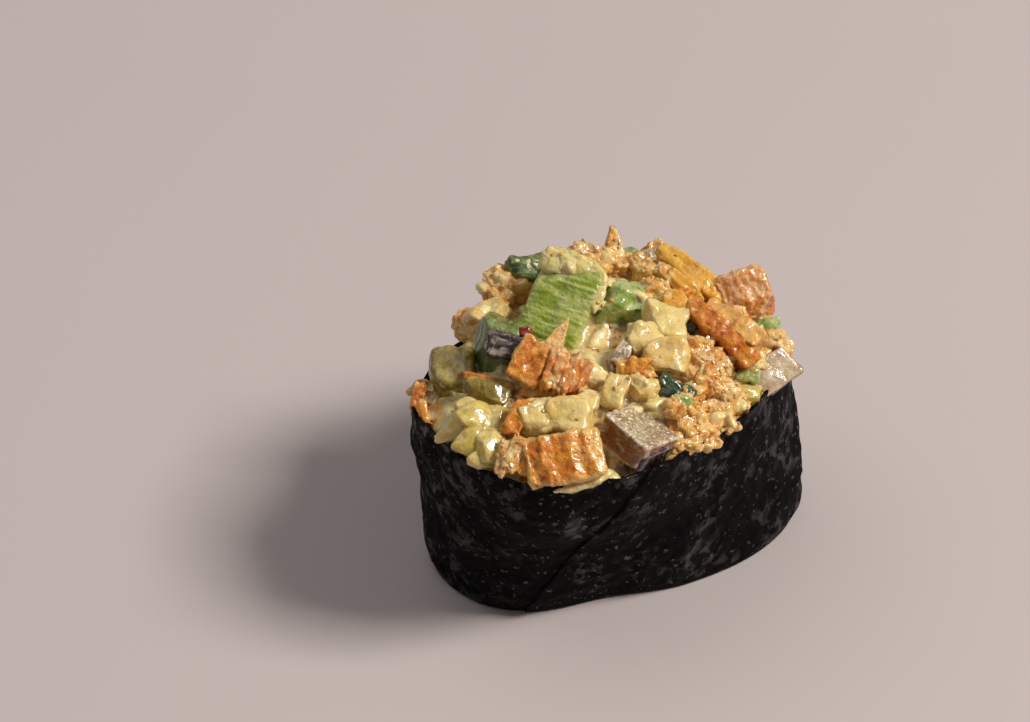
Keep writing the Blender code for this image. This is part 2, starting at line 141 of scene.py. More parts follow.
def rough_at(points: np.ndarray, size: float, seed: float = 0.0, layers: int = 3) -> np.ndarray:
    """Noise in several layers, each half as wide and half as strong as the one before."""
    total = np.zeros(len(points))
    for layer in range(layers):
        total += noise_at(points, size / 2**layer, seed + layer) / 2**layer
    return total


def cells_at(points: np.ndarray, size: float, seed: float = 0.0) -> np.ndarray:
    """Distance to the nearest of scattered spots, as a share of their spacing."""
    return np.array([noise.voronoi(spot)[0][0] for spot in shifted(points, size, seed)])


class Grain(Enum):
    """How the surface of a piece of food is broken up."""

    FIBRE = "fibre"
    CRUST = "crust"
    FLESH = "flesh"
    SKIN = "skin"
    CURD = "curd"
    LEAF = "leaf"
    PLAIN = "plain"


@dataclass(frozen=True)
class Cut:
    """How a piece is cut.

    Args:
        power: How square the corners are, from 2 for an oval.
        roughness: Unevenness of the whole form.
        cuts: Flat cuts that take off corners.
        ridge: Height of the ridges, as a share of the half depth.
        ridges: Ridges over the half length.
    """

    power: float
    roughness: float
    cuts: int
    ridge: float = 0.0
    ridges: float = 0.0


class Form(Enum):
    """Forms that pieces are cut or torn to."""

    SLAB = Cut(11.0, 0.05, 0)
    BLOCK = Cut(7.0, 0.08, 4)
    STRIPED = Cut(9.0, 0.04, 1, 0.02, 2.5)
    LUMP = Cut(3.0, 0.20, 5)
    PLATE = Cut(9.0, 0.05, 1, 0.14, 3.0)
    STRIP = Cut(6.0, 0.14, 4)
    CRUMB = Cut(2.8, 0.26, 7)
    FLAKE = Cut(4.0, 0.16, 3)
    PEBBLE = Cut(2.8, 0.24, 6)
    SHARD = Cut(8.0, 0.10, 9)


@dataclass(frozen=True)
class Lump:
    """One cut or torn piece.

    Args:
        form: How it is cut.
        grain: How its surface is broken up.
        place: Its middle.
        size: Its length, width and depth.
        turn: Its turn about X, Y and Z.
        seed: Start of its random details.
        taper: How much wider it gets along its own X.
        bend: Angle that it is bent by along its own X.
        coat: Extra share of the film of dressing on it.
        cell: Size of its mesh cells.
        face_axis: Own axis that its main faces look along; its other faces are its sides.
    """

    form: Form
    grain: Grain
    place: Triple
    size: Triple
    turn: Triple
    seed: int
    taper: float = 0.0
    bend: float = 0.0
    coat: float = 0.0
    cell: float = 0.22
    face_axis: int = 2

    def covers(self, spot: np.ndarray, margin: float) -> bool:
        """Whether a spot lies in its box, or no further than a margin outside it."""
        own = (spot - np.array(self.place)) @ turn_matrix(self.turn)
        return bool(np.all(np.abs(own) < np.array(self.size) / 2 + margin))


def relief(grain: Grain, own: np.ndarray, seed: float) -> np.ndarray:
    """Height of the fine form of a surface.

    Args:
        grain: Kind of surface.
        own: Points in the piece's own axes, in millimetres.
        seed: Shift of the pattern.

    Returns:
        How far each point stands out, in millimetres.
    """
    if grain is Grain.FIBRE:
        bow = own[:, 1] + 0.3 * noise_at(own, 3.0, seed)
        lines = np.sin(bow * 2 * math.pi / 0.8) * 0.05
        return lines * (0.6 + 0.4 * noise_at(own, 1.5, seed + 1)) + 0.12 * noise_at(own, 3.5, seed + 2)
    if grain is Grain.CRUST:
        wavy = own * np.array((1.0, 0.45, 0.7)) + 0.35 * rough_at(own, 2.5, seed)[:, None]
        ridges = 1 - np.abs(noise_at(wavy, 1.7, seed + 1))
        blisters = noise_at(own, 0.75, seed + 3)
        return 0.34 * (ridges**2 - 0.55) + 0.10 * blisters + 0.05 * noise_at(own, 0.35, seed + 4)
    if grain is Grain.CURD:
        near = cells_at(own + 0.15 * noise_at(own, 0.7, seed)[:, None], 0.8, seed)
        lumps = 0.34 * rough_at(own, 2.4, seed + 2)
        return lumps + 0.16 * (0.55 - near) + 0.04 * noise_at(own, 0.35, seed + 4)
    if grain is Grain.SKIN:
        return 0.12 * rough_at(own, 2.6, seed) + 0.03 * noise_at(own, 0.5, seed + 1)
    if grain is Grain.LEAF:
        wrinkles = 1 - np.abs(noise_at(own * np.array((0.45, 1.0, 1.0)), 0.9, seed))
        return 0.22 * (wrinkles**2 - 0.5) + 0.18 * noise_at(own, 2.0, seed + 2)
    if grain is Grain.FLESH:
        return 0.13 * rough_at(own, 2.2, seed) + 0.04 * rough_at(own, 0.9, seed + 5, 2)
    return np.zeros(len(own))


def gridded_cube(cells: tuple[int, int, int]) -> tuple[np.ndarray, np.ndarray]:
    """Cube of half width 1 in grid cells.

    Args:
        cells: Cells along each axis.

    Returns:
        Its points, and its four-sided faces as rows of point numbers.
    """
    points = []
    faces = []
    start = 0
    for axis in range(3):
        first, second = (axis + 1) % 3, (axis + 2) % 3
        for side in (-1.0, 1.0):
            along = np.linspace(-1, 1, cells[first] + 1)
            across = np.linspace(-1, 1, cells[second] + 1)
            grid = np.empty((len(along), len(across), 3))
            grid[..., axis] = side
            grid[..., first] = along[:, None]
            grid[..., second] = across[None, :]
            index = np.arange(len(along) * len(across)).reshape(len(along), -1) + start
            corners = (index[:-1, :-1], index[1:, :-1], index[1:, 1:], index[:-1, 1:])
            quads = np.stack(corners, -1).reshape(-1, 4)
            faces.append(quads if side > 0 else quads[:, ::-1])
            points.append(grid.reshape(-1, 3))
            start += index.size
    welded, places = np.unique(np.round(np.concatenate(points), 6), axis=0, return_inverse=True)
    return welded, places.reshape(-1)[np.concatenate(faces)]


@dataclass
class Shape:
    """Plain mesh data of a piece in drawing millimetres, with the values that its finish reads.

    Args:
        points: Its points.
        faces: Its four-sided faces, as rows of point numbers.
        own: Its points in its own axes.
        values: Values of its points, by their names.
        hues: Painted colours of its points.
    """

    points: np.ndarray
    faces: np.ndarray
    own: np.ndarray
    values: dict[str, np.ndarray] = field(default_factory=dict)
    hues: np.ndarray | None = None

    @staticmethod
    def join(shapes: list["Shape"]) -> "Shape":
        """All the shapes as one."""
        starts = np.cumsum([0] + [len(shape.points) for shape in shapes[:-1]])
        values = {}
        for label in sorted({label for shape in shapes for label in shape.values}):
            rows = [shape.values.get(label, np.zeros(len(shape.points))) for shape in shapes]
            values[label] = np.concatenate(rows)
        return Shape(
            np.concatenate([shape.points for shape in shapes]),
            np.concatenate([shape.faces + start for shape, start in zip(shapes, starts)]),
            np.concatenate([shape.own for shape in shapes]),
            values,
        )

    def normals(self) -> np.ndarray:
        """Unit normal of each point."""
        corners = self.points[self.faces]
        flat = np.cross(corners[:, 2] - corners[:, 0], corners[:, 3] - corners[:, 1])
        total = np.zeros_like(self.points)
        for corner in range(4):
            np.add.at(total, self.faces[:, corner], flat)
        return total / np.maximum(np.linalg.norm(total, axis=1, keepdims=True), 1e-12)

    def blurred(self, steps: int) -> np.ndarray:
        """The points, each drawn to the middle of its neighbours again and again."""
        start = self.faces.ravel()
        end = np.roll(self.faces, -1, axis=1).ravel()
        count = np.maximum(np.bincount(start, minlength=len(self.points)), 1)
        points = self.points
        for _ in range(steps):
            sums = [np.bincount(start, points[end, axis], minlength=len(points)) for axis in range(3)]
            points = np.stack(sums, 1) / count[:, None]
        return points

    def mesh_object(self, name: str, material: bpy.types.Material) -> bpy.types.Object:
        """The shape as an object in the frame, with its attributes and its finish."""
        mesh = bpy.data.meshes.new(name)
        mesh.from_pydata(((self.points + DRAWING_SHIFT) * MM).tolist(), [], self.faces.tolist())
        for label, values in self.values.items():
            stored = mesh.attributes.new(label, "FLOAT", "POINT")
            stored.data.foreach_set("value", values.astype(np.float32))
        own = mesh.attributes.new("own", "FLOAT_VECTOR", "POINT")
        own.data.foreach_set("vector", self.own.astype(np.float32).ravel())
        if self.hues is not None:
            rows = np.concatenate((self.hues, np.ones((len(self.hues), 1))), 1)
            paint = mesh.attributes.new("paint", "FLOAT_COLOR", "POINT")
            paint.data.foreach_set("color", rows.astype(np.float32).ravel())
        mesh.materials.append(material)
        mesh.shade_smooth()
        mesh.update()
        return new_object(name, mesh)


def knife_cuts(body: np.ndarray, count: int, seed: int, sharpness: float = 14.0) -> np.ndarray:
    """Take corners off a body of half width 1 with flat cuts at random slants.

    Args:
        body: Points of the body.
        count: Number of cuts.
        seed: Start of the random slants.
        sharpness: How crisp the edges of the cuts are.

    Returns:
        The points, drawn in to the cuts.
    """
    chance = random.Random(seed * 31 + 5)
    total = np.ones(len(body))
    for _ in range(count):
        slant = np.array([chance.gauss(0, 1) for _ in range(3)])
        slant /= np.linalg.norm(slant)
        offset = chance.uniform(0.78, 1.02)
        total += np.maximum(body @ slant / offset, 0.0) ** sharpness
    return body * (total ** (-1 / sharpness))[:, None]


def shape_lump(lump: Lump) -> Shape:
    """Form one lump from a gridded cube.

    Its corners are rounded, its grain is raised, and then it is bent, turned and placed.

    Args:
        lump: The lump's form and place.

    Returns:
        Its mesh data.
    """
    half = np.array(lump.size) / 2
    cells = tuple(max(4, round(2 * side / lump.cell)) for side in half)
    unit, faces = gridded_cube(cells)
    cut = lump.form.value
    reach = (np.abs(unit) ** cut.power).sum(1) ** (1 / cut.power)
    rough = noise_at(unit, 1 / 1.3, lump.seed) / NOISE_GAIN
    body = unit / reach[:, None] * (1 + cut.roughness * 2 * rough)[:, None]
    body = knife_cuts(body, cut.cuts, lump.seed)
    body[:, 2] += cut.ridge * np.sin(math.pi * cut.ridges * unit[:, 0]) * np.abs(unit[:, 2])
    width = 1 + lump.taper * body[:, 0]
    own = body * half * np.stack((np.ones_like(width), width, width), 1)
    shape = Shape(own, faces, own.copy())
    raised = relief(lump.grain, own, lump.seed)
    own = own + shape.normals() * (raised * min(1.0, min(lump.size) / 3.0))[:, None]
    if lump.bend:
        radius = lump.size[0] / math.radians(lump.bend)
        angle = own[:, 0] / radius
        away = radius + own[:, 2]
        own = np.stack((away * np.sin(angle), own[:, 1], away * np.cos(angle) - radius), 1)
    shape.points = own @ turn_matrix(lump.turn).T + np.array(lump.place)
    sides = np.sort(np.abs(unit), axis=1)
    shape.values = {
        "height": raised,
        "edge": ease(sides[:, 1], 0.72, 1.0),
        "face": ease(np.abs(unit[:, lump.face_axis]), 0.86, 0.98),
        "coat": np.full(len(own), lump.coat),
        "tint": np.full(len(own), random.Random(lump.seed * 17 + 3).random()),
    }
    return shape


@dataclass(frozen=True)
class Wall:
    """Outer face of the band: a rounded oval, with factors and heights at eight bearings from +X."""

    half_length: float = 29.0
    half_width: float = 20.5
    power: float = 2.5
    rim_factors: tuple[float, ...] = (0.925, 0.985, 0.98, 0.94, 1.01, 1.12, 1.03, 0.955)
    base_factors: tuple[float, ...] = (0.90, 0.94, 0.93, 0.92, 0.925, 0.725, 0.925, 1.03)
    rim_heights: tuple[float, ...] = (23.8, 27.0, 27.0, 26.5, 30.0, 29.5, 27.5, 27.6)
    foot_round_height: float = 10.0
    foot_round_inset: float = 1.3

    @staticmethod
    def around(values: tuple[float, ...], bearing: np.ndarray) -> np.ndarray:
        """Values at bearings in radians, on a smooth closed curve through evenly spaced values."""
        count = len(values)
        place = bearing / (2 * math.pi) * count % count
        index = place.astype(int) % count
        part = place - np.floor(place)
        table = np.array(values)
        before, here, after, beyond = (table[(index + step) % count] for step in (-1, 0, 1, 2))
        slope_here = (after - before) / 2
        slope_after = (beyond - here) / 2
        rise = after - here
        curve = (3 * rise - 2 * slope_here - slope_after) * part**2
        return here + slope_here * part + curve + (slope_here + slope_after - 2 * rise) * part**3

    def rim(self, bearing: np.ndarray) -> np.ndarray:
        """Height of the band's upper edge."""
        return self.around(self.rim_heights, bearing)

    def radius(self, bearing: np.ndarray, height: np.ndarray) -> np.ndarray:
        """Radius of the outer face, without its lap."""
        across = np.abs(np.cos(bearing) / self.half_length) ** self.power
        along = np.abs(np.sin(bearing) / self.half_width) ** self.power
        oval = (across + along) ** (-1 / self.power)
        blend = ease(height / self.rim(bearing), 0.0, 1.0)
        factor = self.around(self.base_factors, bearing) * (1 - blend)
        factor = factor + self.around(self.rim_factors, bearing) * blend
        low = np.clip(1 - height / self.foot_round_height, 0.0, 1.0)
        return oval * factor - self.foot_round_inset * (1 - np.sqrt(1 - low * low))


@dataclass(frozen=True)
class Dome:
    """Upper face of the heap, from the rim up to a low dome."""

    wall: Wall
    rise: float = 6.4
    edge_drop: float = 0.7
    power: float = 4.0
    inset: float = 0.9

    def height(self, bearing: np.ndarray, part: np.ndarray) -> np.ndarray:
        """Height at a bearing and a part of the way out to the wall."""
        edge = self.wall.rim(bearing) - self.edge_drop
        middle = sum(self.wall.rim_heights) / len(self.wall.rim_heights) + self.rise
        return edge + (middle - edge) * (1 - part**self.power)

    def reach(self, bearing: np.ndarray) -> np.ndarray:
        """Radius of the heap where it meets the band."""
        return self.wall.radius(bearing, self.height(bearing, np.ones_like(bearing))) - self.inset

    def points(self, bearing: np.ndarray, part: np.ndarray) -> np.ndarray:
        """Points on the dome."""
        return ring_points(self.reach(bearing) * part, bearing, self.height(bearing, part))


def feed(tree: bpy.types.NodeTree, node: bpy.types.Node, inputs: Inputs) -> None:
    """Link a node's inputs to other sockets, or set their own values."""
    for label, value in inputs.items():
        if isinstance(value, bpy.types.NodeSocket):
            tree.links.new(value, node.inputs[label])
        else:
            node.inputs[label].default_value = value


def add_node(tree: bpy.types.NodeTree, kind: str, inputs: Inputs, **settings: object) -> bpy.types.Node:
    """Add a node to a tree.

    Args:
        tree: Tree of a material or of a scatter.
        kind: Type of the node.
        inputs: Sockets to link or values to set, by the names or numbers of the node's inputs.
        settings: Other settings of the node, which come first.

    Returns:
        The new node.
    """
    node = tree.nodes.new(kind)
    for label, value in settings.items():
        setattr(node, label, value)
    feed(tree, node, inputs)
    return node


@dataclass(frozen=True)
class Pattern:
    """Noise cut to soft-edged patches.

    Args:
        size: Width of a wave, in millimetres.
        low: Noise level where the patches begin to show.
        high: Noise level where they are full.
        detail: Layers of the noise.
        warp: How much it is stirred.
    """

    size: float
    low: float
    high: float
    detail: float = 3.0
    warp: float = 0.0


class Paint:
    """Node tree of one material, with short calls for the nodes that the finishes share."""

    def __init__(self, name: str) -> None:
        """Start a material with its shader."""
        self.material = bpy.data.materials.new(name)
        self.material.use_nodes = True
        self.tree = self.material.node_tree
        place = add_node(self.tree, "ShaderNodeTexCoord", {}).outputs["Object"]
        scale = {0: place, "Scale": 1 / MM}
        self.place = add_node(self.tree, "ShaderNodeVectorMath", scale, operation="SCALE").outputs[0]

    def dress(self, inputs: Inputs) -> bpy.types.Material:
        """The material, with the shader's inputs linked or set."""
        feed(self.tree, self.tree.nodes["Principled BSDF"], inputs)
        return self.material

    def math(self, operation: str, first: object, second: object) -> object:
        """Result of a sum."""
        return add_node(self.tree, "ShaderNodeMath", {0: first, 1: second}, operation=operation).outputs[0]

    def times(self, first: object, second: object) -> object:
        """Product of two values."""
        return self.math("MULTIPLY", first, second)

    def stretched(self, factors: Triple) -> object:
        """A piece's own places in millimetres, each axis times a factor."""
        inputs = {0: self.value("own", "Vector"), 1: factors}
        return add_node(self.tree, "ShaderNodeVectorMath", inputs, operation="MULTIPLY").outputs[0]

    def value(self, label: str, output: str = "Fac") -> object:
        """A piece's own value, by its name."""
        return add_node(self.tree, "ShaderNodeAttribute", {}, attribute_name=label).outputs[output]

    def noise(self, place: object, size: float, detail: float = 3.0, warp: float = 0.0) -> object:
        """Noise from 0 to 1 whose waves are about size millimetres wide."""
        inputs = {"Vector": place, "Scale": 1 / size, "Detail": detail, "Distortion": warp}
        return add_node(self.tree, "ShaderNodeTexNoise", inputs).outputs[0]

    def ramp(self, value: object, low: float, high: float) -> object:
        """Smooth step from 0 at low to 1 at high."""
        inputs = {"Value": value, "From Min": low, "From Max": high}
        node = add_node(self.tree, "ShaderNodeMapRange", inputs, interpolation_type="SMOOTHSTEP")
        return node.outputs["Result"]

    def pattern(self, pattern: Pattern) -> object:
        """Soft-edged patches, 1 inside and 0 outside."""
        waves = self.noise(self.place, pattern.size, pattern.detail, pattern.warp)
        return self.ramp(waves, pattern.low, pattern.high)

    def mix(self, share: object, first: object, second: object) -> object:
        """Colour between two others, the first at share 0."""
        inputs = {0: share, 6: first, 7: second}
        return add_node(self.tree, "ShaderNodeMix", inputs, data_type="RGBA").outputs[2]

    def up(self) -> object:
        """How far the surface faces up."""
        normal = add_node(self.tree, "ShaderNodeNewGeometry", {}).outputs["Normal"]
        return add_node(self.tree, "ShaderNodeSeparateXYZ", {0: normal}).outputs[2]

    def bump(self, height: object, depth: float, below: object = None) -> object:
        """Normal of a surface whose height differs by depth millimetres."""
        inputs = {"Strength": 1.0, "Distance": depth * MM, "Height": height}
        if below is not None:
            inputs["Normal"] = below
        return add_node(self.tree, "ShaderNodeBump", inputs).outputs[0]


# What all foods share: shares, and levels of noise between which patches, fibres and film fade in.
TINT_SWING = 0.35
# Share of the dark colour in the painted shade of the dressing's pits and valleys.
PIT_SHADE_SHARE = 0.75
SPECK_SHARE = 0.22
FIBRE_STRETCH = 0.16
FILM_UPWARD = 0.12
PATCH_LEVELS = (0.40, 0.60)
PAINTED_LEVELS = (0.42, 0.64)
FIBRE_LEVELS = (0.46, 0.64)
FILM_FADE = (0.12, 0.14)
EDGE_WEAR = Pattern(1.2, 0.35, 0.65, 4.0)
SPECKS = Pattern(0.35, 0.48, 0.72)
GRAINS = Pattern(0.42, 0.54, 0.64, 2.0)


@dataclass(frozen=True)
class FoodFinish:
    """Moist cut food. Lengths are in millimetres, and shares from 0 to 1.

    Args:
        name: Name of the material.
        base: Main colour.
        second: Colour of its patches.
        dark: Colour of pits and specks; on the dressing its pits take in the painted shade of its valleys.
        pale: Colour of edge wear, fibres and grains.
        side: Colour of the sides, where it differs.
        cream: Colour of the film of dressing.
        patch: Size of the patches.
        pits: Heights of the surface between which pits fade out.
        edge_share: Share of pale on the edges.
        fine: Size of the finest relief.
        bump: Depth of the finest relief.
        roughness: Mean roughness under the wet coat.
        gloss: Weight of the wet coat.
        translucency: Share of light that goes in.
        depth: How far that light goes.
        film_level: Noise level at which the film of dressing begins.
        film_share: Share of the film's colour.
        lines: Width of pale fibres along the piece, or 0.
        warp: How much the middle relief is stirred.
        grains: Share of fine pale grains on the main faces.
        painted: Whether the mesh has colours of its own under these.
    """

    name: str
    base: Colour
    second: Colour
    dark: Colour
    pale: Colour
    side: Colour | None = None
    cream: Colour = tone(233, 208, 150)
    patch: float = 2.2
    pits: tuple[float, float] = (-0.30, 0.06)
    edge_share: float = 0.5
    fine: float = 0.4
    bump: float = 0.12
    roughness: float = 0.42
    gloss: float = 0.5
    translucency: float = 0.12
    depth: float = 0.8
    film_level: float = 0.62
    film_share: float = 0.55
    lines: float = 0.0
    warp: float = 0.0
    grains: float = 0.0
    painted: bool = False

    def flesh(self, paint: Paint) -> tuple[object, object]:
        """Colour of the bare food and of its pits."""
        swing = paint.times(paint.math("SUBTRACT", paint.value("tint"), 0.5), TINT_SWING)
        broad = paint.math("ADD", paint.noise(paint.place, self.patch, 4.0, 0.8), swing)
        colour = paint.mix(paint.ramp(broad, *PATCH_LEVELS), self.base, self.second)
        dark = self.dark
        if self.painted:
            under = paint.value("paint", "Color")
            colour = paint.mix(paint.ramp(broad, *PAINTED_LEVELS), under, colour)
            # Painted shade: the dressing's pits and valleys darken from the hue beneath towards the dark
            # colour.
            dark = paint.mix(PIT_SHADE_SHARE, under, dark)
        if self.side is not None:
            colour = paint.mix(paint.value("face"), self.side, colour)
        if self.lines:
            own = paint.stretched((FIBRE_STRETCH, 1 / self.lines, FIBRE_STRETCH))
            fibres = paint.noise(own, 0.7, 4.0, 0.3)
            colour = paint.mix(paint.ramp(fibres, *FIBRE_LEVELS), colour, self.pale)
        return colour, dark

    def film(self, paint: Paint) -> object:
        """Where dressing covers the food: more of it on faces that look up and on coated pieces."""
        film = paint.noise(paint.place, 2.4, 6.0, 1.0)
        film = paint.math("ADD", film, paint.times(paint.up(), FILM_UPWARD))
        film = paint.math("ADD", film, paint.value("coat"))
        cover = paint.ramp(film, self.film_level - FILM_FADE[0], self.film_level + FILM_FADE[1])
        return paint.times(cover, self.film_share)

    def material(self) -> bpy.types.Material:
        """The finish as a material."""
        paint = Paint(self.name)
        colour, dark = self.flesh(paint)
        pits = paint.math("SUBTRACT", 1.0, paint.ramp(paint.value("height"), *self.pits))
        mottle = paint.pattern(Pattern(self.patch * 0.5, 0.40, 0.64, 5.0, 1.2))
        colour = paint.mix(paint.times(pits, mottle), colour, dark)
        edge = paint.times(paint.value("edge"), paint.pattern(EDGE_WEAR))
        colour = paint.mix(paint.times(edge, self.edge_share), colour, self.pale)
        colour = paint.mix(self.film(paint), colour, self.cream)
        colour = paint.mix(paint.times(paint.pattern(SPECKS), SPECK_SHARE), colour, self.dark)
        if self.grains:
            grains = paint.times(paint.pattern(GRAINS), paint.value("face"))
            colour = paint.mix(paint.times(grains, self.grains), colour, self.pale)
        rough = paint.bump(paint.noise(paint.place, 1.1, 3.0, self.warp), self.bump * 2.2)
        dryness = paint.pattern(Pattern(1.3, 0.1, 0.9, 4.0))
        return paint.dress({
            "Base Color": colour,
            "Normal": paint.bump(paint.noise(paint.place, self.fine, 4.0), self.bump, rough),
            "Coat Normal": paint.bump(paint.noise(paint.place, 1.5, 2.0), self.bump * 2.0),
            "Roughness": paint.times(dryness, self.roughness * 2),
            "Coat Weight": self.gloss,
            "Coat Roughness": 0.08,
            "Specular IOR Level": 0.35,
            "Subsurface Weight": self.translucency,
            "Subsurface Radius": (1.0, 0.6, 0.3),
            "Subsurface Scale": self.depth * MM,
        })


@dataclass(frozen=True)
class NoriFinish:
    """Damp pressed seaweed: near black, with sparse lighter blotches of painted sheen, crumpled sheen and
    small glints.
    """

    name: str = "damp_nori"
    deep: Colour = tone(3, 2, 2)
    green: Colour = tone(9, 10, 5)
    # Painted sheen: a lighter colour, in blotches and at the rim, that stands in for highlights on the
    # crumples.
    painted_sheen: Colour = tone(54, 49, 47)
    blotches: Pattern = Pattern(1.9, 0.54, 0.66, 4.0, 0.6)
    regions: Pattern = Pattern(6.5, 0.46, 0.64, 3.0, 0.2)
    greens: Pattern = Pattern(5.0, 0.5, 0.75)
    glints: Pattern = Pattern(0.9, 0.64, 0.70, 1.0)
    sheen: Pattern = Pattern(2.0, 0.50, 0.60, 2.0)
    # Share at the rim, for both the real gloss and the painted sheen there.
    rim_gloss_and_painted_sheen: float = 0.6
    glint_relief: float = 0.25
    crumple_size: float = 2.4
    crumple_relief: float = 0.9
    glint_gain: float = 1.35
    gloss: float = 0.6

    def material(self) -> bpy.types.Material:
        """The finish as a material."""
        paint = Paint(self.name)
        # The rim raises the real gloss and the painted sheen alike.
        rim = paint.times(paint.value("rim"), self.rim_gloss_and_painted_sheen)
        regions = paint.math("MAXIMUM", paint.pattern(self.regions), rim)
        colour = paint.mix(paint.pattern(self.greens), self.deep, self.green)
        glint = paint.pattern(self.glints)
        crumple = paint.bump(paint.noise(paint.place, self.crumple_size, 1.0), self.crumple_relief)
        crumple = paint.bump(glint, self.glint_relief, crumple)
        shine = paint.times(paint.pattern(self.sheen), regions)
        shine = paint.math("MAXIMUM", shine, paint.times(glint, self.glint_gain))
        return paint.dress({
            # Painted sheen in blotches over the near-black base.
            "Base Color": paint.mix(paint.times(paint.pattern(self.blotches), regions), colour, self.painted_sheen),
            "Normal": crumple,
            "Coat Normal": crumple,
            "Coat Weight": paint.times(shine, self.gloss),
            "Coat Roughness": 0.24,
            "Roughness": 0.8,
            "Specular IOR Level": 0.1,
        })


@dataclass(frozen=True)
class RiceFinish:
    """Cooked rice: white, slightly see-through and moist."""

    name: str = "cooked_rice"
    base: Colour = tone(236, 230, 216)
    second: Colour = tone(222, 212, 190)

    def material(self) -> bpy.types.Material:
        """The finish as a material."""
        paint = Paint(self.name)
        return paint.dress({
            "Base Color": paint.mix(paint.noise(paint.place, 1.8), self.base, self.second),
            "Normal": paint.bump(paint.noise(paint.place, 0.5, 4.0), 0.04),
            "Roughness": 0.4,
            "Coat Weight": 0.3,
            "Subsurface Weight": 0.3,
            "Subsurface Radius": (1.0, 0.9, 0.7),
            "Subsurface Scale": 1.5 * MM,
        })


@dataclass(frozen=True)
class FloorFinish:
    """Pale warm plate."""

    name: str = "pale_floor"
    base: Colour = tone(193, 180, 176)
    cloud_size: float = 90.0
    cloud_tone: float = 0.97

    def material(self) -> bpy.types.Material:
        """The finish as a material."""
        paint = Paint(self.name)
        darker = (*(value * self.cloud_tone for value in self.base[:3]), 1.0)
        clouds = paint.noise(paint.place, self.cloud_size, 2.0)
        return paint.dress({"Base Color": paint.mix(clouds, self.base, darker), "Roughness": 0.6})


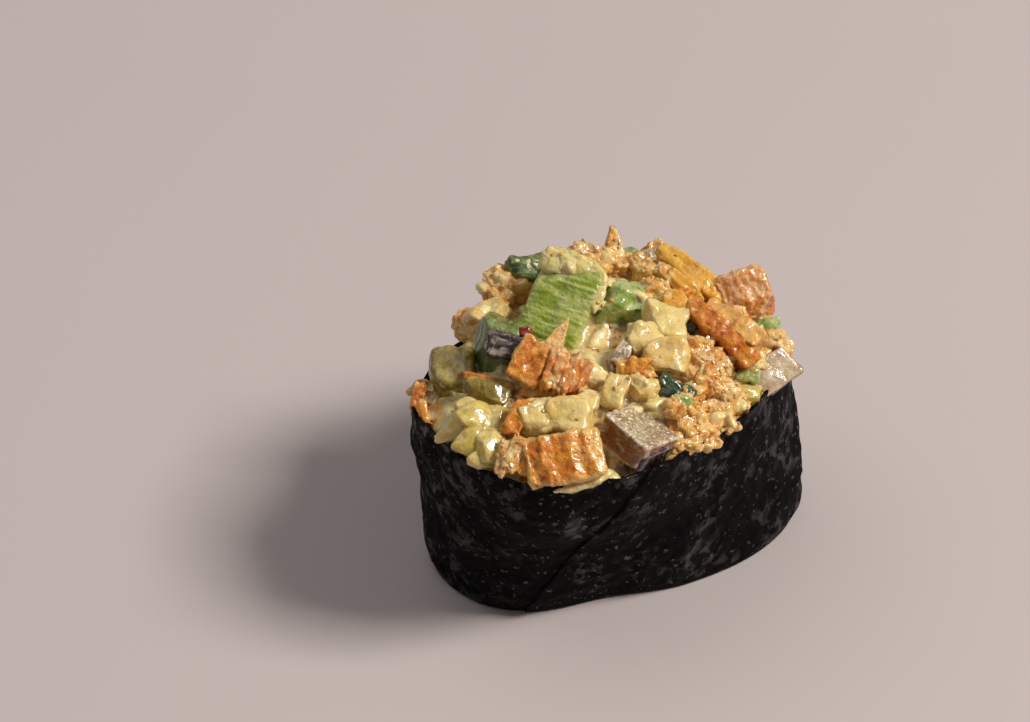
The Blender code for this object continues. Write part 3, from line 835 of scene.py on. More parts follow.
class Food(Enum):
    """Foods of the heap, with their finishes."""

    STALK = FoodFinish(
        "stalk_flesh", tone(98, 120, 12), tone(130, 146, 34), tone(54, 76, 8), tone(180, 186, 100),
        side=tone(186, 182, 112), cream=tone(214, 208, 146), lines=0.8, patch=3.4, film_level=0.70,
        film_share=0.5,
    )
    MINT = FoodFinish(
        "mint_green", tone(106, 146, 60), tone(162, 176, 92), tone(50, 84, 36), tone(200, 202, 138),
        cream=tone(208, 208, 150), translucency=0.3, roughness=0.28, gloss=1.0, patch=1.6,
    )
    PEEL = FoodFinish(
        "green_peel", tone(44, 64, 18), tone(70, 94, 34), tone(18, 28, 10), tone(128, 144, 74), lines=0.9,
        side=tone(96, 108, 46), cream=tone(180, 176, 124), film_level=0.70, film_share=0.4, gloss=0.6,
    )
    LEAF = FoodFinish(
        "wet_leaf", tone(26, 44, 18), tone(50, 72, 34), tone(9, 15, 7), tone(112, 130, 84), film_level=0.74,
        cream=tone(150, 160, 130), gloss=1.0, roughness=0.25, patch=1.0, film_share=0.4,
    )
    AUBERGINE = FoodFinish(
        "aubergine_flesh", tone(144, 120, 86), tone(172, 148, 108), tone(104, 78, 52), tone(244, 228, 206),
        side=tone(124, 72, 26), cream=tone(216, 198, 158), film_level=0.66, film_share=0.5,
        translucency=0.2, patch=1.4, fine=0.28, bump=0.2, roughness=0.3, gloss=1.0, pits=(-0.7, -0.3),
        grains=0.9,
    )
    AUBERGINE_SMOOTH = FoodFinish(
        "smooth_aubergine", tone(168, 142, 108), tone(186, 160, 124), tone(112, 84, 58),
        tone(220, 200, 168), side=tone(128, 88, 60), cream=tone(212, 192, 156), film_level=0.66,
        film_share=0.5,
        translucency=0.2, patch=2.4, bump=0.1, roughness=0.3, gloss=0.8, pits=(-0.7, -0.3),
    )
    AUBERGINE_DARK = FoodFinish(
        "aubergine_skin", tone(30, 14, 18), tone(58, 38, 40), tone(10, 5, 7), tone(140, 122, 118),
        cream=tone(196, 180, 160), film_level=0.68, gloss=1.0, roughness=0.25, patch=1.6, film_share=0.7,
    )
    AVOCADO = FoodFinish(
        "avocado_flesh", tone(216, 188, 96), tone(194, 168, 70), tone(148, 126, 40), tone(236, 214, 142),
        translucency=0.35, depth=1.4, roughness=0.26, gloss=1.0, patch=2.6, bump=0.08,
    )
    POTATO = FoodFinish(
        "potato_flesh", tone(224, 198, 122), tone(218, 178, 90), tone(180, 126, 46), tone(238, 216, 154),
        translucency=0.35, depth=1.4, roughness=0.26, gloss=1.0, patch=2.4, bump=0.09,
    )
    TOFU = FoodFinish(
        "fried_tofu", tone(202, 112, 16), tone(220, 148, 46), tone(136, 52, 4), tone(232, 182, 96),
        side=tone(224, 172, 88), cream=tone(234, 198, 122), edge_share=0.8, patch=1.8, bump=0.14,
        roughness=0.36, gloss=0.7, film_level=0.72, film_share=0.4,
    )
    # Its pale cream film is partly dressing and partly painted highlight, pinkish white.
    GOLD = FoodFinish(
        "golden_tofu", tone(206, 120, 28), tone(218, 150, 52), tone(138, 60, 6), tone(234, 184, 96),
        cream=tone(238, 204, 154), patch=1.6, bump=0.14, roughness=0.26, gloss=1.0, film_level=0.66,
        film_share=0.5, translucency=0.2, warp=0.4,
    )
    CURD = FoodFinish(
        "tofu_curd", tone(228, 172, 84), tone(216, 144, 52), tone(160, 88, 22), tone(240, 206, 130),
        patch=1.6, fine=0.32, bump=0.14, roughness=0.30, gloss=1.0, film_level=0.58, film_share=0.6,
    )
    CARROT = FoodFinish(
        "carrot_flesh", tone(190, 98, 8), tone(206, 130, 26), tone(128, 54, 6), tone(226, 168, 74),
        cream=tone(234, 194, 112), patch=1.6, film_level=0.80, film_share=0.5,
    )
    PEPPER = FoodFinish(
        "yellow_pepper", tone(212, 148, 34), tone(224, 168, 62), tone(164, 92, 14), tone(236, 196, 110),
        patch=1.8, film_level=0.78, film_share=0.5,
    )
    BEAD = FoodFinish(
        "red_bead", tone(136, 18, 16), tone(164, 40, 30), tone(66, 6, 8), tone(196, 84, 64), film_level=2.0,
        gloss=1.0, roughness=0.15, translucency=0.3,
    )
    # Avocado flesh made darker: partly its own olive tone, partly painted shade for the side of the heap
    # away from the key light.
    OLIVE = FoodFinish(
        "olive_flesh", tone(166, 140, 48), tone(130, 110, 32), tone(70, 54, 12), tone(206, 182, 96),
        cream=tone(206, 184, 108), translucency=0.2, roughness=0.28, gloss=0.9, patch=1.8, film_level=0.66,
        film_share=0.4,
    )
    CREAM = FoodFinish(
        "thick_cream", tone(230, 210, 140), tone(218, 196, 112), tone(190, 146, 70), tone(242, 226, 170),
        translucency=0.35, depth=1.4, roughness=0.26, gloss=1.0, patch=2.0, film_share=0.3, bump=0.09,
    )
    # Its dark colour is the painted shade in the valleys between pieces.
    DRESSING = FoodFinish(
        "cream_dressing", tone(232, 198, 122), tone(224, 168, 78), tone(118, 62, 16), tone(240, 216, 152),
        translucency=0.25, roughness=0.28, gloss=1.0, patch=2.6, film_level=0.60, film_share=0.6, fine=0.45,
        bump=0.10, painted=True, pits=(-0.8, -0.1), depth=1.2,
    )


MATERIALS: dict[Food, bpy.types.Material] = {}


def finish_of(food: Food) -> bpy.types.Material:
    """The food's material, made once."""
    if food not in MATERIALS:
        MATERIALS[food] = food.value.material()
    return MATERIALS[food]


def report(piece: bpy.types.Object, slot: str, *nodes: str) -> bpy.types.Object:
    """Put a piece on the body, hide the nodes it stands for, and log it with its slot and those nodes."""
    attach(piece, BODY)
    if nodes:
        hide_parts(*nodes)
    count = sum(len(face.vertices) - 2 for face in piece.data.polygons)
    LOG.info("%s: %d triangles, slot %s, for %s", piece.name, count, slot, ", ".join(nodes) or "no node")
    return piece


@dataclass
class NoriBand:
    """Crinkled nori round the rice, its end lapped along a slanted seam."""

    wall: Wall
    sheet: float = 0.45
    foot: float = 0.4
    seam_at_foot: float = 200.0
    seam_at_rim: float = 243.0
    seam_step: float = 0.12
    seam_wander: float = 0.7
    lap_height: float = 0.28
    lap_fade: float = 55.0
    lip: float = 0.1
    lip_fade: float = 2.0
    girth: float = 24.0
    columns: int = 560
    outer_rows: int = 96
    inner_rows: int = 34
    dent: float = 0.6
    crease: float = 0.25
    crinkle: float = 0.08
    wrinkle: float = 0.6
    ragged: float = 0.25
    deepest: float = -0.4
    finish: NoriFinish = field(default_factory=NoriFinish)

    def bearings(self, parts: np.ndarray, turn: np.ndarray) -> np.ndarray:
        """Bearings in radians, by row and column, from the slanted seam on."""
        seam = self.seam_at_foot + (self.seam_at_rim - self.seam_at_foot) * parts[:, None]
        wander = np.stack((parts * 9, np.zeros_like(parts), np.zeros_like(parts)), 1)
        seam = seam + self.seam_wander * rough_at(wander, 1.4, 3)[:, None]
        return np.radians(seam + turn[None, :]) % (2 * math.pi)

    def relief(self, flat: np.ndarray, bearing: np.ndarray, height: np.ndarray) -> np.ndarray:
        """How far the sheet stands out in dents, creases and wrinkles.

        Args:
            flat: Points of the smooth sheet, one row each.
            bearing: Their bearings, by row and column.
            height: Their heights, by row and column.

        Returns:
            Distances by row and column, in millimetres.
        """
        swell = self.dent * noise_at(flat, 11.0, 1) + 0.45 * self.dent * noise_at(flat, 4.6, 2)
        along = np.stack((bearing.ravel() * self.girth, height.ravel() * 2.6, np.zeros(bearing.size)), 1)
        folds = (1 - np.abs(noise_at(along, 9.0, 4))) ** 2 * ease(noise_at(flat, 12.0, 6), -0.1, 0.5)
        near = cells_at(flat + 0.8 * noise_at(flat, 2.5, 10)[:, None], 3.4, 8)
        wrinkles = (near - 0.5) * ease(noise_at(flat, 8.0, 9), -0.4, 0.4)
        fine = self.crinkle * noise_at(flat, 1.6, 7) + self.wrinkle * wrinkles
        return (swell + self.crease * folds + fine).reshape(bearing.shape)

    def face(self, parts: np.ndarray, inward: float) -> np.ndarray:
        """Rows of points on one face of the sheet.

        Args:
            parts: Heights of the rows, from 0 at the foot to 1 at the rim.
            inward: How far the face lies inside the outer one.

        Returns:
            Points by row and column.
        """
        turn = np.linspace(0, 360 - self.seam_step, self.columns)
        bearing = self.bearings(parts, turn)
        ring = ring_points(np.ones(self.columns), bearing[-1], np.zeros(self.columns)) * self.girth
        tatter = self.ragged * rough_at(ring, 3.2, 5)
        height = self.foot + (self.wall.rim(bearing) + tatter[None, :] - self.foot) * parts[:, None]
        radius = self.wall.radius(bearing, height)
        lap = self.lap_height * np.clip(1 - turn / self.lap_fade, 0, 1)
        lift = self.lip * np.exp(-turn / self.lip_fade)
        push = self.relief(ring_points(radius, bearing, height).reshape(-1, 3), bearing, height)
        push = np.maximum(push, self.deepest) * ease(parts, 0.0, 0.12)[:, None]
        return ring_points(radius + lap[None, :] + lift[None, :] + push - inward, bearing, height)

    def build(self) -> bpy.types.Object:
        """Make the band as one closed sheet."""
        outer = self.face(np.linspace(0, 1, self.outer_rows), 0.0)
        inner = self.face(1 - np.linspace(0, 1, self.inner_rows) ** 1.6, self.sheet)
        grid = np.concatenate((outer, inner))
        rows = len(grid)
        index = np.arange(rows * self.columns).reshape(rows, self.columns)
        after = np.roll(index, -1, axis=1)
        above = np.roll(index, -1, axis=0)
        corner = np.roll(above, -1, axis=1)
        faces = np.stack((index, after, corner, above), -1).reshape(-1, 4)
        points = grid.reshape(-1, 3)
        shape = Shape(points, faces, points)
        outer_edge = ease(np.linspace(0, 1, self.outer_rows), 0.93, 1.0)
        edge = np.concatenate((outer_edge, np.ones(self.inner_rows)))
        shape.values["rim"] = np.repeat(edge, self.columns)
        return report(shape.mesh_object("nori_band", self.finish.material()), "nori", "nori_wrap")


@dataclass
class RiceBed:
    """Rice body with grains pressed flat on the plate."""

    wall: Wall
    top: float = 17.0
    lift: float = 0.7
    inset: float = 0.95
    slack: float = 0.9
    columns: int = 180
    rings: int = 14
    tip: float = 0.02
    grain: Triple = (5.8, 2.8, 2.4)
    spacing: float = 2.3
    density: float = 2.0
    scales: tuple[float, float] = (0.85, 1.1)
    seed: int = 7
    finish: RiceFinish = field(default_factory=RiceFinish)

    def ring(self, height: float, share: float = 1.0, slack: float = 0.0) -> np.ndarray:
        """Ring of points at a height, a slack inside the body's foot and drawn in to a share."""
        bearing = full_turn(self.columns)
        level = np.full_like(bearing, height)
        radius = self.wall.radius(bearing, level) - self.inset - slack
        return ring_points(radius * share, bearing, level)

    def core(self) -> Shape:
        """Closed body of the rice, in rings from its underside to its top."""
        shares = np.linspace(self.tip, 1, self.rings)
        rings = [self.ring(self.lift, share) for share in shares]
        for height in np.linspace(self.lift, self.top, self.rings)[1:]:
            rings.append(self.ring(height, 1.0, self.slack))
        for share in np.linspace(1, self.tip, self.rings)[1:]:
            rings.append(self.ring(self.top, share, self.slack))
        return closed_loft(rings)

    def underside(self) -> Shape:
        """Thin disc under the body, clear of the band by half a grain."""
        rings = []
        for share, height in ((self.tip, 0.0), (0.5, 0.0), (1.0, 0.0), (1.0, 0.2), (self.tip, 0.2)):
            ring = self.ring(self.lift, share, self.grain[0] / 2)
            rings.append(ring + np.array((0.0, 0.0, height)))
        shape = closed_loft(rings)
        shape.values["grit"] = np.ones(len(shape.points))
        return shape

    def build(self) -> bpy.types.Object:
        """Make the body and scatter grains under it."""
        material = self.finish.material()
        core = self.core().mesh_object("rice_bed", material)
        underside = self.underside().mesh_object("rice_underside", material)
        scatter = GrainScatter(
            "rice_grains", material, self.spacing, self.density, self.seed, self.scales, lie_flat=True,
            facing=(0.0, 0.0, -1.0),
        )
        grains = scatter.run(underside, [grain_mesh("rice_grain", self.grain, 12, 8)])
        grains.data.shade_smooth()
        bpy.data.objects.remove(underside)
        flatten(grains.data, 0.0)
        join_objects(core, grains)
        return report(core, "rice", "rice")


def closed_loft(rings: list[np.ndarray]) -> Shape:
    """Skin rings of points, and close each end with faces to its middle."""
    count = len(rings[0])
    first = rings[0].mean(0)
    last = rings[-1].mean(0)
    points = np.concatenate([*rings, first[None], last[None]])
    index = np.arange(len(rings) * count).reshape(len(rings), count)
    after = np.roll(index, -1, axis=1)
    faces = np.stack((index[:-1], after[:-1], after[1:], index[1:]), -1).reshape(-1, 4)
    low, high = len(points) - 2, len(points) - 1
    runs = [(start, (start + 1) % count, (start + 2) % count) for start in range(0, count, 2)]
    foot = [(index[0, one], low, index[0, three], index[0, two]) for one, two, three in runs]
    top = [(index[-1, one], index[-1, two], index[-1, three], high) for one, two, three in runs]
    faces = np.concatenate((faces, np.array(foot), np.array(top)))
    return Shape(points, faces, points.copy())


def grain_mesh(name: str, size: Triple, around: int, along: int) -> bpy.types.Mesh:
    """Small closed grain of a few dozen faces, its long way along X, in metres."""
    bearing = full_turn(around)
    rings = []
    for step in range(1, along):
        angle = math.pi * step / along
        wide = math.sin(angle)
        spot = np.full(around, -math.cos(angle))
        ring = np.stack((spot, wide * np.cos(bearing), wide * np.sin(bearing)), 1)
        rings.append(ring * np.array(size) / 2)
    shape = closed_loft(rings)
    shape.points[-2] = (-size[0] / 2, 0, 0)
    shape.points[-1] = (size[0] / 2, 0, 0)
    mesh = bpy.data.meshes.new(name)
    mesh.from_pydata((shape.points * MM).tolist(), [], shape.faces.tolist())
    mesh.shade_smooth()
    return mesh


def drawing_points(mesh: bpy.types.Mesh) -> np.ndarray:
    """A mesh's points in drawing millimetres."""
    points = np.empty(len(mesh.vertices) * 3, np.float32)
    mesh.vertices.foreach_get("co", points)
    return points.reshape(-1, 3).astype(float) / MM - DRAWING_SHIFT


def flatten(mesh: bpy.types.Mesh, floor: float) -> None:
    """Press every point of a mesh up to a floor height."""
    for vertex in mesh.vertices:
        vertex.co.z = max(vertex.co.z, floor)


def join_objects(kept: bpy.types.Object, other: bpy.types.Object) -> None:
    """Join the other object's mesh to the kept one, and remove the other."""
    with bpy.context.temp_override(active_object=kept, selected_editable_objects=[kept, other]):
        bpy.ops.object.join()


@dataclass
class GrainScatter:
    """Geometry Nodes that spread small grains over a surface, turned and sized at random.

    Args:
        name: Name of the tree and of the piece.
        material: Finish of the grains.
        spacing: Least distance between grains, in millimetres.
        density: Grains on a square millimetre, before the spacing thins them.
        seed: Start of the random values.
        scales: Least and most size.
        lie_flat: Whether the grains turn about the upright only.
        facing: Direction that the faces with grains look in.
        least_facing: How nearly they have to look in it, from -1 to 1.
        hug: Whether the grains turn about the surface's normal only.
        tilt: Angle in radians that flat grains may lean by.
    """

    name: str
    material: bpy.types.Material
    spacing: float
    density: float
    seed: int
    scales: tuple[float, float]
    lie_flat: bool = False
    facing: Triple = (0.0, 0.0, 1.0)
    least_facing: float = 0.35
    hug: bool = False
    tilt: float = 0.12

    def selection(self, tree: bpy.types.NodeTree) -> object:
        """Faces that look the right way."""
        normal = add_node(tree, "GeometryNodeInputNormal", {}).outputs[0]
        along = {0: normal, 1: self.facing}
        facing = add_node(tree, "ShaderNodeVectorMath", along, operation="DOT_PRODUCT").outputs["Value"]
        limits = {0: facing, 1: self.least_facing}
        return add_node(tree, "FunctionNodeCompare", limits, operation="GREATER_THAN").outputs[0]

    def rotation(self, tree: bpy.types.NodeTree, surface_turn: object, seed: object) -> object:
        """Random turns, about the upright or the surface's normal only where grains lie flat."""
        flat = self.lie_flat or self.hug
        most = (self.tilt, self.tilt, math.tau) if flat else (math.tau, math.tau, math.tau)
        inputs = {0: (0.0, 0.0, 0.0), 1: most, "Seed": seed}
        angle = add_node(tree, "FunctionNodeRandomValue", inputs, data_type="FLOAT_VECTOR").outputs[0]
        if not self.hug:
            return angle
        turns = {0: surface_turn, 1: angle}
        return add_node(tree, "FunctionNodeRotateRotation", turns, rotation_space="LOCAL").outputs[0]

    def tree(self, grains: bpy.types.Collection) -> bpy.types.NodeTree:
        """Build the node tree.

        Args:
            grains: The grains to choose from.

        Returns:
            The tree, with named inputs for spacing, density, seed and the grains' least and most size.
        """
        tree = bpy.data.node_groups.new(self.name, "GeometryNodeTree")
        face = tree.interface
        face.new_socket("Surface", in_out="INPUT", socket_type="NodeSocketGeometry")
        for label in ("Spacing", "Density", "Least size", "Most size"):
            face.new_socket(label, in_out="INPUT", socket_type="NodeSocketFloat")
        face.new_socket("Seed", in_out="INPUT", socket_type="NodeSocketInt")
        face.new_socket("Grains", in_out="OUTPUT", socket_type="NodeSocketGeometry")
        start = add_node(tree, "NodeGroupInput", {}).outputs
        grit = {"Name": "grit"}
        spread_inputs = {
            "Mesh": start["Surface"],
            "Distance Min": start["Spacing"],
            "Density Max": start["Density"],
            "Density Factor": add_node(
                tree, "GeometryNodeInputNamedAttribute", grit, data_type="FLOAT"
            ).outputs[0],
            "Seed": start["Seed"],
            "Selection": self.selection(tree),
        }
        spread = add_node(
            tree, "GeometryNodeDistributePointsOnFaces", spread_inputs, distribute_method="POISSON"
        )
        samples = {"Collection": grains, "Separate Children": True}
        sizes = {2: start["Least size"], 3: start["Most size"], "Seed": start["Seed"]}
        place_inputs = {
            "Points": spread.outputs["Points"],
            "Instance": add_node(tree, "GeometryNodeCollectionInfo", samples).outputs[0],
            "Pick Instance": True,
            "Scale": add_node(tree, "FunctionNodeRandomValue", sizes, data_type="FLOAT").outputs[1],
            "Rotation": self.rotation(tree, spread.outputs["Rotation"], start["Seed"]),
        }
        placed = add_node(tree, "GeometryNodeInstanceOnPoints", place_inputs).outputs[0]
        shade = add_node(tree, "FunctionNodeRandomValue", {}, data_type="FLOAT").outputs[1]
        tint_inputs = {"Geometry": placed, "Name": "tint", "Value": shade}
        tinted = add_node(
            tree, "GeometryNodeStoreNamedAttribute", tint_inputs, data_type="FLOAT", domain="INSTANCE"
        ).outputs[0]
        real = add_node(tree, "GeometryNodeRealizeInstances", {0: tinted}).outputs[0]
        dressed = {0: real, "Material": self.material}
        finished = add_node(tree, "GeometryNodeSetMaterial", dressed).outputs[0]
        add_node(tree, "NodeGroupOutput", {0: finished})
        return tree

    def run(self, surface: bpy.types.Object, grains: list[bpy.types.Mesh]) -> bpy.types.Object:
        """Spread the grains over a surface.

        Args:
            surface: Object that carries the grains.
            grains: Meshes of the grains, of which each spot gets one.

        Returns:
            A plain mesh object of all the grains.
        """
        samples = bpy.data.collections.new(self.name + "_samples")
        for mesh in grains:
            samples.objects.link(bpy.data.objects.new(mesh.name, mesh))
        tree = self.tree(samples)
        carrier = new_object(self.name, surface.data.copy())
        modifier = carrier.modifiers.new("Scatter", "NODES")
        modifier.node_group = tree
        values = {
            "Spacing": self.spacing * MM,
            "Density": self.density / (MM * MM),
            "Least size": self.scales[0],
            "Most size": self.scales[1],
            "Seed": self.seed,
        }
        for item in tree.interface.items_tree:
            if item.in_out == "INPUT" and item.name in values:
                modifier[item.identifier] = values[item.name]
        evaluated = carrier.evaluated_get(bpy.context.evaluated_depsgraph_get())
        result = bpy.data.meshes.new_from_object(evaluated)
        carrier.modifiers.clear()
        carrier.data = result
        for sample in list(samples.objects):
            bpy.data.objects.remove(sample)
        bpy.data.collections.remove(samples)
        if not result.materials:
            result.materials.append(self.material)
        return carrier


def plain_mesh(body: bmesh.types.BMesh, name: str) -> bpy.types.Mesh:
    """Mesh of an edit mesh, which is freed."""
    mesh = bpy.data.meshes.new(name)
    body.to_mesh(mesh)
    body.free()
    return mesh


def shard_mesh(name: str, size: Triple, corners: int, seed: int) -> bpy.types.Mesh:
    """Torn crumb of a few dozen flat faces: the hull of random corners in an oval, in metres."""
    chance = random.Random(seed)
    body = bmesh.new()
    for _ in range(corners):
        way = Vector([chance.gauss(0, 1) for _ in range(3)]).normalized()
        reach = chance.uniform(0.75, 1.0)
        body.verts.new([axis * reach * side / 2 * MM for axis, side in zip(way, size)])
    bmesh.ops.convex_hull(body, input=body.verts)
    loose = [vertex for vertex in body.verts if not vertex.link_faces]
    bmesh.ops.delete(body, geom=loose, context="VERTS")
    return plain_mesh(body, name)


def drop_mesh(name: str, size: Triple, seed: int) -> bpy.types.Mesh:
    """Soft uneven drop of a few dozen faces, in metres."""
    body = bmesh.new()
    bmesh.ops.create_icosphere(body, subdivisions=2, radius=1.0)
    for vertex in body.verts:
        swell = 1 + 0.8 * noise.noise(vertex.co * 0.9 + Vector((seed * 3.1, 0, seed * 1.7)))
        vertex.co = Vector([axis * swell * side / 2 * MM for axis, side in zip(vertex.co, size)])
    mesh = plain_mesh(body, name)
    mesh.shade_smooth()
    return mesh


@dataclass(frozen=True)
class Cluster:
    """One named piece of the heap: its food, the node it stands for, and its lumps."""

    name: str
    food: Food
    node: str
    lumps: tuple[Lump, ...]

    def shape(self) -> Shape:
        """All its lumps as one shape."""
        return Shape.join([shape_lump(lump) for lump in self.lumps])


LARGE_PIECES = (
    Cluster("stalk_piece", Food.STALK, "green_stalk", (
        Lump(Form.STRIPED, Grain.FIBRE, (-1.5, 7.7, 34.2), (9.0, 12.6, 7.0), (39, 9, -62), 1),
    )),
    Cluster("mint_piece", Food.MINT, "green_mint", (
        Lump(Form.LUMP, Grain.FLESH, (4.8, 2.7, 34.6), (7.2, 7.0, 6.2), (25, -4, -32), 2),
    )),
    Cluster("peel_piece", Food.PEEL, "green_skin", (
        Lump(Form.STRIPED, Grain.FIBRE, (-13.1, 7.7, 32.9), (7.6, 6.6, 7.6), (11, 30, 37), 3, face_axis=1),
    )),
    Cluster("dark_curl", Food.AUBERGINE_DARK, "aubergine_dark", (
        Lump(Form.SHARD, Grain.LEAF, (-14.8, 2.1, 36.3), (7.4, 4.2, 3.2), (41, 5, -46), 4),
    )),
    Cluster("folded_tofu", Food.TOFU, "tofu_middle", (
        Lump(Form.SLAB, Grain.CRUST, (-15.0, -1.9, 37.0), (4.8, 6.2, 2.4), (40, 19, -61), 5),
        Lump(Form.PLATE, Grain.CRUST, (-13.2, -4.2, 34.8), (8.4, 6.0, 2.4), (39, 4, -45), 88),
    )),
    Cluster("golden_folds", Food.GOLD, "tofu_middle", (
        Lump(Form.STRIP, Grain.CRUST, (-13.5, -4.1, 36.3), (6.2, 2.0, 3.4), (10, -38, 34), 84, coat=0.05),
        Lump(Form.STRIP, Grain.CRUST, (-12.7, -5.2, 36.0), (6.4, 1.9, 3.6), (13, -37, 29), 85, coat=0.07),
        Lump(Form.STRIP, Grain.CRUST, (-11.9, -6.3, 35.9), (6.0, 1.9, 3.4), (16, -36, 24), 86, coat=0.07),
        Lump(Form.STRIP, Grain.CRUST, (-11.1, -7.5, 35.6), (5.2, 1.8, 3.0), (20, -34, 17), 87, coat=0.05),
    )),
    # Its darker flesh is partly painted shade.
    Cluster("left_avocado", Food.OLIVE, "avocado_left", (
        Lump(Form.BLOCK, Grain.FLESH, (-20.0, 8.1, 30.0), (6.4, 8.4, 6.6), (24, -17, -47), 6),
    )),
    Cluster("front_avocado", Food.AVOCADO, "avocado_front", (
        Lump(Form.SHARD, Grain.SKIN, (-25.3, -4.2, 29.9), (9.0, 9.0, 6.8), (32, 1, -53), 7),
        Lump(Form.SHARD, Grain.SKIN, (-27.5, -1.7, 31.4), (6.6, 3.0, 2.4), (-25, 22, 155), 25, taper=-0.6),
        Lump(Form.SHARD, Grain.SKIN, (-25.2, -1.1, 32.2), (6.2, 4.4, 3.2), (-18, -18, 96), 26, taper=-0.3),
        Lump(Form.SHARD, Grain.SKIN, (-25.2, -3.8, 33.0), (6.6, 4.8, 3.4), (10, 41, -88), 27, taper=-0.3),
        Lump(Form.SHARD, Grain.SKIN, (-27.5, -6.0, 31.7), (7.2, 4.4, 3.4), (42, 16, -83), 28, taper=-0.4),
        Lump(Form.SHARD, Grain.SKIN, (-27.1, -7.8, 32.1), (5.8, 4.6, 3.0), (28, -41, 42), 101),
        Lump(Form.SHARD, Grain.SKIN, (-28.0, -8.2, 30.9), (4.6, 3.2, 2.4), (45, 14, -54), 102),
    )),
    Cluster("front_potato", Food.POTATO, "potato_front", (
        Lump(Form.BLOCK, Grain.FLESH, (-17.3, -10.0, 33.8), (9.0, 5.8, 5.6), (36, 2, -43), 8),
    )),
    Cluster("front_tofu", Food.TOFU, "tofu_front", (
        Lump(Form.PLATE, Grain.CRUST, (-21.2, -16.6, 32.9), (10.4, 6.6, 2.6), (44, -10, -34), 9),
    )),
    Cluster("front_aubergine", Food.AUBERGINE, "aubergine_front", (
        Lump(Form.SLAB, Grain.FLESH, (-9.6, -17.3, 30.9), (8.2, 8.8, 3.9), (-23, 17, -80), 10),
    )),
    Cluster("middle_potato", Food.POTATO, "potato_middle", (
        Lump(Form.BLOCK, Grain.FLESH, (5.6, -5.2, 35.2), (6.4, 5.2, 5.6), (30, 7, -52), 11),
        Lump(Form.BLOCK, Grain.FLESH, (1.2, -6.8, 35.2), (5.2, 4.8, 5.2), (31, -5, -32), 89, coat=0.04),
        Lump(Form.BLOCK, Grain.FLESH, (1.4, -10.4, 34.4), (6.4, 5.2, 5.6), (31, 2, -44), 90),
    )),
    Cluster("carrot_curl", Food.CARROT, "carrot_curve", (
        Lump(Form.SLAB, Grain.CRUST, (10.9, -11.2, 34.2), (11.6, 3.0, 3.8), (23, 21, -81), 12, bend=24.0),
        Lump(
            Form.SLAB, Grain.CURD, (12.8, -11.4, 34.9), (9.4, 3.2, 3.0), (13, 11, -80), 91,
            bend=18.0, coat=0.34,
        ),
    )),
    Cluster("right_tofu", Food.GOLD, "tofu_right", (
        # Its large coat share spreads the pale film: partly dressing, partly painted highlight.
        Lump(Form.BLOCK, Grain.CRUST, (20.8, -4.2, 31.4), (7.6, 7.4, 6.8), (42, -12, -20), 13, coat=0.17),
    )),
    Cluster("pepper_piece", Food.PEPPER, "pepper_strip", (
        Lump(Form.STRIP, Grain.FLESH, (16.6, 1.4, 34.4), (11.6, 3.0, 3.2), (25, 19, -76), 14, bend=26.0),
        Lump(Form.STRIP, Grain.FLESH, (13.2, -0.6, 34.6), (6.6, 2.4, 2.8), (23, 22, -82), 92, coat=0.08),
    )),
    Cluster("rim_aubergine", Food.AUBERGINE_SMOOTH, "aubergine_rim", (
        Lump(Form.SLAB, Grain.SKIN, (15.5, -16.5, 28.5), (6.6, 4.6, 2.6), (40, -17, -3), 15),
    )),
    Cluster("back_tofu", Food.TOFU, "tofu_back", (
        Lump(Form.PLATE, Grain.CRUST, (6.6, 14.2, 32.0), (10.5, 8.0, 3.2), (-50, 0, -14), 16),
    )),
    Cluster("back_potato", Food.POTATO, "potato_back", (
        Lump(Form.BLOCK, Grain.FLESH, (-8.0, 15.0, 30.2), (8.0, 6.5, 6.5), (0, 0, 14), 17),
    )),
)

LARGE_LUMPS = [piece for cluster in LARGE_PIECES for piece in cluster.lumps]

